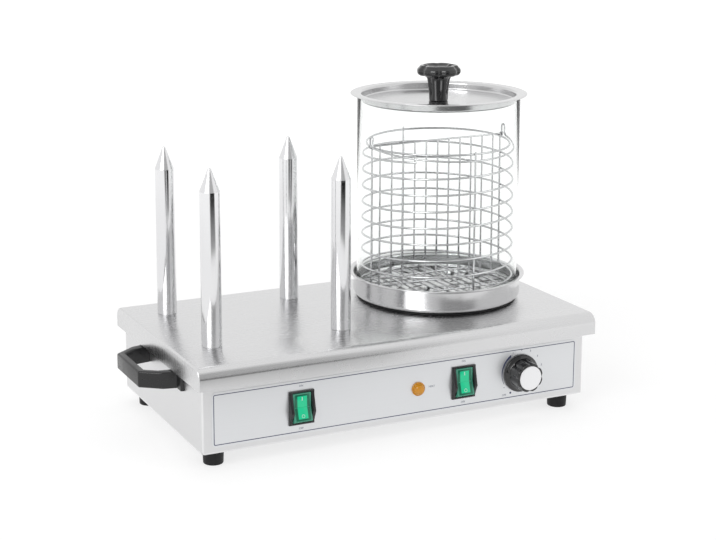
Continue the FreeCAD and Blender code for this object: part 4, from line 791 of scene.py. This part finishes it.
bow_start = math.asin(0.0098 / BAIL)
right_half = [bow_point(bow_start + (math.pi / 2 - bow_start) * i / 30) for i in range(31)]
root = bow_point(bow_start)
leg = Vector((root.x, root.y + 0.0028, root.z + 0.0032))
ear = []
for step in range(9):
    angle = math.pi * step / 8
    ear.append(Vector((leg.x, leg.y - leg.y / 2 * (1 - math.cos(angle)),
                       PINS + EAR_TOP - 0.0036 + 0.0034 * math.sin(angle))))
ear = [leg] + ear + [Vector((leg.x, 0, PINS + 0.0022))]
right_side = list(reversed(right_half)) + ear
left_side = [Vector((-p.x, p.y, p.z)) for p in reversed(right_side)]
path = [at_glass(*p) for p in left_side[:-1] + right_side]
bow = bent_wire(path, WIRE * 0.9, fineness=3)
eyes = []
for side in (-1, 1):
    clear_selection()
    bpy.ops.mesh.primitive_torus_add(major_radius=0.0022, minor_radius=0.0009, major_segments=24,
                                     minor_segments=10, location=at_glass(leg.x * side, 0, PINS),
                                     rotation=(0, math.radians(90), 0))
    eyes.append(bpy.context.object)
    set_down(eyes[-1])
bail = join([bow] + eyes)
shade(bail, 60)
finish_piece(bail, "bail_wire", "bail", wire_chrome, "wire_chrome", "basket_bail")

# Thermostat knob: skirt, fluted grip and a spun cap

TO_FRONT = (math.radians(90), 0, 0)
KNOB_PLACE = (KNOB_X, PANEL_FACE, CONTROL_HEIGHT)
KNOB_FRONT = 0.0233
stations = [(0.003, 0.0007), (0.0218, 0.0007)]
stations += bend_round((0.0224, 0.0013), 0.0006, -90, 0, 3)
stations += bend_round((0.0215, 0.0021), 0.0015, 0, 70, 5)
stations += [(0.0196, 0.0047), (0.0187, 0.0056), (0.0182, 0.0075), (0.0180, 0.0120), (0.0178, 0.0170)]
stations += bend_round((0.0158, 0.0208), 0.0019, 0, 90, 8)
stations += [(0.0149, 0.0227), (0.0148, 0.0222), (0.0148, 0.0218), (0, 0.0218)]
dial = turned(stations, 144)
press_flutes(dial, (0, 0), 8, 0.0016, 0.0085, 0.030, 0.0, 3.0, 0.002)
dial.location = KNOB_PLACE
dial.rotation_euler = TO_FRONT
set_down(dial)
shade(dial, 50)
finish_piece(dial, "dial_grip", "dial", knob_plastic, "knob_plastic", "thermostat_knob")
stations = [(0, 0.0218), (0.0146, 0.0218)]
stations += bend_round((0.0142, 0.0228), 0.0004, 0, 90, 4)
stations += [(0.0130, KNOB_FRONT), (0, KNOB_FRONT)]
dial_cap = turned(stations, 96, KNOB_PLACE, TO_FRONT)
shade(dial_cap, 40)
finish_piece(dial_cap, "dial_disc", "dial", cap_silver, "cap_silver", "knob_cap")

# Pilot lamp lens: a faceted cap on a round flange

LENS_PLACE = (LAMP_X, PANEL_FACE, CONTROL_HEIGHT)
stations = [(0, 0), (0.00825, 0)]
stations += bend_round((0.00785, 0.0014), 0.0004, 0, 90, 3)
stations += [(0.0071, 0.0018)]
flange = turned(stations + [(0, 0.0018)], 48, LENS_PLACE, TO_FRONT)
stations = [(0, 0.0017), (0.0071, 0.0017), (0.0066, 0.0032), (0.0053, 0.0053), (0.0030, 0.0060), (0, 0.0060)]
facets = turned(stations, 12, LENS_PLACE, TO_FRONT)
round_edges(facets, 0.0002, 2, 10)
lens = join([flange, facets])
shade(lens, 12)
finish_piece(lens, "lamp_cap", "housing", amber_lens, "amber_lens", "lamp_lens")


# Pieces that keep their solid's form, with the edges broken as a mould or a press leaves them

def softened(name, width, segments=3, angle=30):
    """A copy of a solid as one clean mesh, with its sharp edges rolled over."""
    clear_selection()
    solid = nodes[name]
    piece = bpy.data.objects.new(name + "_softened", solid.data.copy())
    scene.collection.objects.link(piece)
    tidy_mesh(piece)
    choose(piece, "VERT", lambda vertex: True)
    bpy.ops.mesh.dissolve_limited(angle_limit=math.radians(0.5))
    bpy.ops.object.mode_set(mode="OBJECT")
    if width:
        round_edges(piece, width, segments, angle)
    return piece


def upright_at(piece, half, middle):
    """A test for the upright edges at the four corners of a box about a middle."""
    def test(edge):
        a, b = ends_of(piece, edge)
        level = abs(abs(a.x - middle[0]) - half[0]) < 0.0001 and abs(abs(a.y - middle[1]) - half[1]) < 0.0001
        return level and abs(a.x - b.x) < 0.0001 and abs(a.y - b.y) < 0.0001
    return test


casing = softened("casing", 0)
for inset, radius in ((0, 0.0026), (SHEET, 0.0014)):
    corner_half = (CASING_HALF[0] - inset, CASING_HALF[1] - inset)
    choose(casing, "EDGE", upright_at(casing, corner_half, CASING_MIDDLE))
    bpy.ops.mesh.bevel(offset=radius, segments=6, affect="EDGES")
    bpy.ops.object.mode_set(mode="OBJECT")
shade(casing, 20)
finish_piece(casing, "casing_sheet", "housing", satin_steel, "satin_steel", "casing")

for side in ("left", "right"):
    grip = softened("handle_" + side, 0.0006)
    shade(grip, 35)
    finish_piece(grip, "grip_" + side, "housing", handle_plastic, "handle_plastic", "handle_" + side)
    frame_piece = softened("switch_housing_" + side, 0.00035, 2)
    shade(frame_piece, 35)
    finish_piece(frame_piece, "switch_frame_" + side, "housing", switch_plastic, "switch_plastic",
                 "switch_housing_" + side)

# Feet: moulded rubber with a washer recess

feet_low, feet_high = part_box("feet")
FOOT_REACH = (feet_high.x - 0.01225, (feet_high.y - feet_low.y) / 2 - 0.01225)
feet_middle = (feet_low + feet_high) / 2
feet = []
for a in (-1, 1):
    for b in (-1, 1):
        stations = [(0.0056, 0.0080), (0.0056, 0.0006), (0.0062, 0)]
        stations += bend_round((0.0104, 0.0011), 0.0011, -90, 0, 4)
        stations += [(0.0119, 0.0112), (0.0121, 0.0180)]
        stations += bend_round((0.0114, 0.0183), 0.0007, 0, 90, 4)
        stations += [(0.0026, 0.0190), (0.0026, 0.0080), (0.0056, 0.0080)]
        feet.append(turned(stations, 48, (feet_middle.x + FOOT_REACH[0] * a,
                                          feet_middle.y + FOOT_REACH[1] * b, 0)))
feet = join(feet)
shade(feet, 40)
finish_piece(feet, "rubber_feet", "housing", black_rubber, "black_rubber", "feet")

# Cable gland: the solid's moulding with its edges softened

gland = softened("cable_gland", 0.0005)
shade(gland, 35)
finish_piece(gland, "gland_body", "housing", handle_plastic, "handle_plastic", "cable_gland")


# Rockers: a lit key in a dark frame, with a raised bar and ring

def slab(low, high, edge):
    """A block between two corners, with its edges rolled over."""
    low, high = Vector(low), Vector(high)
    clear_selection()
    bpy.ops.mesh.primitive_cube_add(size=1, location=(low + high) / 2)
    block = bpy.context.object
    block.scale = high - low
    set_down(block)
    round_edges(block, edge, 3)
    return block


def outline_piece(outlines, thick, edge=0.0):
    """Flat closed outlines raised to a thickness along Z, as a mesh; an outline inside another is a hole."""
    clear_selection()
    bpy.ops.curve.primitive_bezier_circle_add(location=(0, 0, 0))
    shape = bpy.context.object
    line = shape.data
    line.dimensions = "2D"
    line.fill_mode = "BOTH"
    line.splines.clear()
    for outline in outlines:
        spline = line.splines.new("POLY")
        spline.points.add(len(outline) - 1)
        for point, spot in zip(spline.points, outline):
            point.co = (*spot, 0, 1)
        spline.use_cyclic_u = True
    line.extrude = thick / 2 - edge
    line.bevel_depth = edge
    line.bevel_resolution = 3
    line.offset = -edge
    pick(shape)
    bpy.ops.object.convert(target="MESH")
    piece = bpy.context.object
    tidy_mesh(piece, 0.000001)
    return piece


KEY_HALF = 0.0160
KEY_WIDTH = 0.0224
KEY_TIP = 0.0073
KEY_MIDDLE = 0.0052
KEY_SLOPE = math.atan2(KEY_TIP - KEY_MIDDLE, KEY_HALF)
KEY_TILT = math.radians(-10)
TRUNNION_DEPTH = 0.0020


def on_key(piece, half, along):
    """Lay a piece, drawn on the XZ plane and facing -Y, on one half of the key's face."""
    piece.rotation_euler = (KEY_SLOPE * half, 0, 0)
    piece.location = (0, -KEY_MIDDLE - math.sin(KEY_SLOPE) * along, math.cos(KEY_SLOPE) * along * half)
    set_down(piece)
    return piece


def rocker_profile():
    """The key seen from its side: a shallow hollow face between two rounded ends."""
    spots = [(-KEY_TIP, -KEY_HALF), (-KEY_MIDDLE, 0), (-KEY_TIP, KEY_HALF)]
    reach = math.hypot(KEY_TIP, KEY_HALF)
    first = math.atan2(KEY_HALF, -KEY_TIP)
    last = math.atan2(KEY_HALF, KEY_TIP)
    turns = [first + (last - first) * i / 8 for i in range(1, 9)]
    spots += [(reach * math.cos(turn), reach * math.sin(turn)) for turn in turns]
    spots += [(KEY_TIP + 0.0015, KEY_HALF / 2), (KEY_TIP + 0.0015, -KEY_HALF / 2)]
    spots += [(x, -z) for x, z in reversed(spots[3:11])]
    return spots


def dress_key(pieces, name, side, material, *stands_for):
    """Tilt the key's pieces to rest, put them on their trunnions and let them ride."""
    piece = join(pieces)
    piece.rotation_euler = (KEY_TILT, 0, 0)
    piece.location = (SWITCHES[side], PANEL_FACE + TRUNNION_DEPTH, CONTROL_HEIGHT)
    set_down(piece)
    shade(piece, 40)
    return finish_piece(piece, name + "_" + side, "rocker_" + side, material, "rocker_green", *stands_for)


for side in SWITCHES:
    key = outline_piece([rocker_profile()], KEY_WIDTH, 0.0007)
    key.rotation_euler = (math.radians(90), 0, math.radians(90))
    set_down(key)
    pins = []
    for end in (-1, 1):
        pins.append(straight_wire((0.0100 * end, 0, 0), (0.0129 * end, 0, 0), 0.0015, 24))
    dress_key([key] + pins, "key_rim", side, rocker_rim, "rocker_" + side)
    bands, lights, marks = [], [], []
    for half in (1, -1):
        bands.append(on_key(slab((-0.0092, -0.00010, -0.0074), (0.0092, 0.0006, 0.0074), 0.0004),
                            half, 0.0077))
        lights.append(on_key(slab((-0.0061, -0.00022, -0.0066), (0.0061, 0.0006, 0.0066), 0.0004),
                             half, 0.0066))
    marks.append(on_key(slab((-0.0006, -0.00034, -0.0021), (0.0006, 0.0003, 0.0021), 0.0001), 1, 0.0100))
    clear_selection()
    bpy.ops.mesh.primitive_torus_add(major_radius=0.0017, minor_radius=0.00038, major_segments=36,
                                     minor_segments=8, location=(0, -0.0001, 0),
                                     rotation=(math.radians(90), 0, 0))
    ring = bpy.context.object
    set_down(ring)
    marks.append(on_key(ring, -1, 0.0100))
    dress_key(bands, "key_band", side, rocker_band)
    dress_key(lights, "key_light", side, rocker_glow)
    dress_key(marks, "key_marks", side, rocker_mark)

# Panel printing: the border line, the words by the switches and the thermostat's scale

PRINT_THICK = 0.00006


def on_panel(piece, x, z):
    """Stand a flat print, drawn on the XY plane, on the panel's face."""
    piece.rotation_euler = (math.radians(90), 0, 0)
    piece.location = (x, PANEL_FACE - PRINT_THICK * 0.3, z)
    set_down(piece)
    return piece


def corner_box(left, right, low, high, corner, steps=8):
    """The outline of a rectangle with rounded corners."""
    spots = []
    for x, z, first in ((right - corner, low + corner, -90), (right - corner, high - corner, 0),
                        (left + corner, high - corner, 90), (left + corner, low + corner, 180)):
        for step in range(steps + 1):
            angle = math.radians(first + 90 * step / steps)
            spots.append((x + corner * math.cos(angle), z + corner * math.sin(angle)))
    return spots


def word(body, height, x, z):
    """A word in plain capitals, centred on a spot of the panel."""
    clear_selection()
    bpy.ops.object.text_add(location=(0, 0, 0))
    text = bpy.context.object
    text.data.body = body
    text.data.size = height / 0.70
    text.data.align_x = "CENTER"
    text.data.align_y = "CENTER"
    text.data.extrude = PRINT_THICK / 2
    text.data.resolution_u = 3
    pick(text)
    bpy.ops.object.convert(target="MESH")
    piece = bpy.context.object
    tidy_mesh(piece, 0.000001)
    return on_panel(piece, x, z)


def round_mark(middle, angle, radius, size):
    """A printed dot at an angle and distance from the knob's axis."""
    steps = [2 * math.pi * i / 20 for i in range(20)]
    spots = [(size * math.cos(t), size * math.sin(t)) for t in steps]
    return on_panel(outline_piece([spots], PRINT_THICK), middle[0] + radius * math.cos(math.radians(angle)),
                    middle[1] + radius * math.sin(math.radians(angle)))


BORDER = (-0.2347, 0.2356, 0.0280, 0.0865)
BORDER_LINE = 0.0009
inner = (BORDER[0] + BORDER_LINE, BORDER[1] - BORDER_LINE, BORDER[2] + BORDER_LINE, BORDER[3] - BORDER_LINE)
border = outline_piece([corner_box(*BORDER, 0.0020), corner_box(*inner, 0.0014)], PRINT_THICK)
prints = [on_panel(border, 0, 0)]
for x in SWITCHES.values():
    prints.append(word("ON", 0.0023, x, 0.0823))
    prints.append(word("OFF", 0.0023, x, 0.0320))
prints.append(word("HEAT", 0.0023, LAMP_X + 0.0180, CONTROL_HEIGHT + 0.0005))

DIAL = (KNOB_X, CONTROL_HEIGHT)
DIAL_STEP = 25.2
DIAL_FIRST = 112.7
DIAL_OFF = 239.9
for number in range(6):
    angle = DIAL_FIRST - DIAL_STEP * number
    reach = 0.0277 + 0.0006 * number
    prints.append(word(str(number + 1), 0.0026, DIAL[0] + reach * math.cos(math.radians(angle)),
                       DIAL[1] + reach * math.sin(math.radians(angle))))
prints.append(round_mark(DIAL, DIAL_OFF - DIAL_STEP, 0.0271, 0.0006))
prints.append(round_mark(DIAL, DIAL_OFF, 0.0267, 0.0013))
prints.append(word("OFF", 0.0023, 0.1372, 0.0320))
# A wedge that grows thicker from low heat to high
sweep = [math.radians(DIAL_OFF - DIAL_STEP * 1.25 - i * 3.4) for i in range(27)]
wedge = [(0.0250 * math.cos(t), 0.0250 * math.sin(t)) for t in sweep]
wedge += [((0.0253 + 0.00009 * i) * math.cos(t), (0.0253 + 0.00009 * i) * math.sin(t))
          for i, t in reversed(list(enumerate(sweep)))]
prints.append(on_panel(outline_piece([wedge], PRINT_THICK), *DIAL))
printing = join(prints)
finish_piece(printing, "panel_printing", "housing", panel_ink, "foil")


# Floor, backdrop and light

clear_selection()
bpy.ops.mesh.primitive_plane_add(size=30, location=(0, 0, 0))
floor = bpy.context.object
floor.name = "table_top"
floor_material = bpy.data.materials.new("white_table")
floor_material.use_nodes = True
tree = floor_material.node_tree
floor_shader = tree.nodes["Principled BSDF"]
floor_shader.inputs["Base Color"].default_value = (0.90, 0.90, 0.90, 1)
floor_shader.inputs["Roughness"].default_value = 0.9
floor_shader.inputs["Specular IOR Level"].default_value = 0.1
glow = tree.nodes.new("ShaderNodeEmission")
glow.inputs["Color"].default_value = (1, 1, 1, 1)
rays = tree.nodes.new("ShaderNodeLightPath")
floor_split = tree.nodes.new("ShaderNodeSeparateXYZ")
wire_up(tree, tree.nodes.new("ShaderNodeTexCoord").outputs["Object"], floor_split.inputs[0])
# The dark card lies out in front of the spikes, and only mirrors see it
spikes_low = [min(middle[i] for middle in spike_middles.values()) for i in (0, 1)]
spikes_high = [max(middle[i] for middle in spike_middles.values()) for i in (0, 1)]
floor_x = value_of(tree, "SUBTRACT", floor_split.outputs[0], (spikes_low[0] + spikes_high[0]) / 2)
floor_y = value_of(tree, "SUBTRACT", floor_split.outputs[1], (spikes_low[1] + spikes_high[1]) / 2)
away = value_of(tree, "SQRT", value_of(tree, "MULTIPLY_ADD", floor_y, floor_y,
                                       value_of(tree, "MULTIPLY", floor_x, floor_x)))
CARD_TOWARDS = 274
CARD_HALF = 25
CARD_SOFT = 4
CARD_START = (0.50, 0.60)
FLOOR_GLOW = 1.12
NEAR_SHARE = 0.62
FAR_FROM = (0.5, 1.6)
card_angle = math.radians(CARD_TOWARDS)
along_it = value_of(tree, "MULTIPLY_ADD", floor_y, math.sin(card_angle),
                    value_of(tree, "MULTIPLY", floor_x, math.cos(card_angle)))
sector = spread_of(tree, value_of(tree, "DIVIDE", along_it, value_of(tree, "MAXIMUM", away, 0.001)),
                   math.cos(math.radians(CARD_HALF + CARD_SOFT)),
                   math.cos(math.radians(CARD_HALF - CARD_SOFT)))
sector = value_of(tree, "MULTIPLY", sector, spread_of(tree, away, *CARD_START))
card = value_of(tree, "MULTIPLY", rays.outputs["Is Glossy Ray"], sector)
wire_up(tree, value_of(tree, "MULTIPLY_ADD", card, -FLOOR_GLOW, FLOOR_GLOW), glow.inputs["Strength"])
seen = value_of(tree, "MAXIMUM", rays.outputs["Is Camera Ray"],
                value_of(tree, "MAXIMUM", rays.outputs["Is Glossy Ray"],
                         rays.outputs["Is Transmission Ray"]))
blend = tree.nodes.new("ShaderNodeMixShader")
glow_share = spread_of(tree, away, *FAR_FROM, NEAR_SHARE, 1.0)
wire_up(tree, value_of(tree, "MULTIPLY", seen, glow_share), blend.inputs[0])
wire_up(tree, floor_shader.outputs[0], blend.inputs[1])
wire_up(tree, glow.outputs[0], blend.inputs[2])
wire_up(tree, blend.outputs[0], tree.nodes["Material Output"].inputs["Surface"])
floor.data.materials.append(floor_material)

world = bpy.data.worlds.new("studio")
scene.world = world
world.use_nodes = True
tree = world.node_tree
background = tree.nodes["Background"]
background.inputs["Strength"].default_value = 1.0
rays = tree.nodes.new("ShaderNodeLightPath")
towards = tree.nodes.new("ShaderNodeTexCoord").outputs["Generated"]
split = tree.nodes.new("ShaderNodeSeparateXYZ")
wire_up(tree, towards, split.inputs[0])
x, y, z = split.outputs
flat = value_of(tree, "SQRT", value_of(tree, "MULTIPLY_ADD", y, y, value_of(tree, "MULTIPLY", x, x)))
flat = value_of(tree, "MAXIMUM", flat, 0.001)


def dark_band(azimuth, half_wide, soft, low=-0.2, high=0.75):
    """A darker upright strip of the room, at an azimuth from +X towards +Y, in degrees."""
    angle = math.radians(azimuth)
    towards_it = value_of(tree, "MULTIPLY_ADD", y, math.sin(angle),
                          value_of(tree, "MULTIPLY", x, math.cos(angle)))
    turn = value_of(tree, "DIVIDE", towards_it, flat)
    inside_band = spread_of(tree, turn, math.cos(math.radians(half_wide + soft)),
                            math.cos(math.radians(max(0.5, half_wide - soft))))
    fade = spread_of(tree, z, high, high + 0.15, 1.0, 0.0)
    return value_of(tree, "MULTIPLY", inside_band, fade)


BAND_DEPTH = 0.5
ROOM_LIGHT = 0.55
room = dark_band(CARD_TOWARDS, CARD_HALF, CARD_SOFT)
mirrored = value_of(tree, "SUBTRACT", 1.0, value_of(tree, "MULTIPLY", room, BAND_DEPTH))
picked = tree.nodes.new("ShaderNodeMix")
picked.data_type = "FLOAT"
wire_up(tree, rays.outputs["Is Glossy Ray"], picked.inputs[0])
picked.inputs[2].default_value = ROOM_LIGHT
wire_up(tree, mirrored, picked.inputs[3])
white_seen = value_of(tree, "MAXIMUM", rays.outputs["Is Camera Ray"], rays.outputs["Is Transmission Ray"])
final = tree.nodes.new("ShaderNodeMix")
final.data_type = "FLOAT"
wire_up(tree, white_seen, final.inputs[0])
wire_up(tree, picked.outputs[0], final.inputs[2])
final.inputs[3].default_value = 1.0
shade_color = tree.nodes.new("ShaderNodeCombineColor")
for place in range(3):
    wire_up(tree, final.outputs[0], shade_color.inputs[place])
wire_up(tree, shade_color.outputs[0], background.inputs["Color"])


def soft_box(name, place, aim, wide, tall, power, mirrored=True):
    """A large area lamp that looks at a point; the steel need not mirror it."""
    clear_selection()
    bpy.ops.object.light_add(type="AREA", location=place)
    lamp = bpy.context.object
    lamp.name = name
    lamp.data.shape = "RECTANGLE"
    lamp.data.size = wide
    lamp.data.size_y = tall
    lamp.data.energy = power
    lamp.rotation_mode = "QUATERNION"
    lamp.rotation_quaternion = (Vector(aim) - Vector(place)).to_track_quat("-Z", "Y")
    lamp.visible_glossy = mirrored


soft_box("key_light", (-1.9, -1.2, 1.7), (0, 0, 0.15), 1.4, 1.4, 22)
soft_box("fill_light", (1.6, -1.7, 1.2), (0, 0, 0.15), 1.6, 1.6, 9, mirrored=False)
soft_box("top_light", (0.1, 0.3, 2.3), (0, 0, 0.1), 2.0, 1.6, 14, mirrored=False)

# Finishes of the solids that stay as they are

STAYING = {
    "base_plate": galvanised, "panel_foil": foil, "spike_heaters": heater_steel,
    "spike_nuts": galvanised, "sieve_ring": pan_steel, "pan_heater": heater_steel,
    "heater_clamp": galvanised, "clamp_nut": galvanised, "handle_screws": galvanised,
    "foot_screws": galvanised, "lamp_body": switch_plastic, "thermostat": ivory_plastic,
    "thermostat_shaft": galvanised, "gland_nut": handle_plastic, "terminal_block": ceramic_white,
    "sieve_plate": pan_steel, "lid_screw": galvanised,
}
for name, material in STAYING.items():
    nodes[name].data.materials.clear()
    nodes[name].data.materials.append(material)

clear_selection()
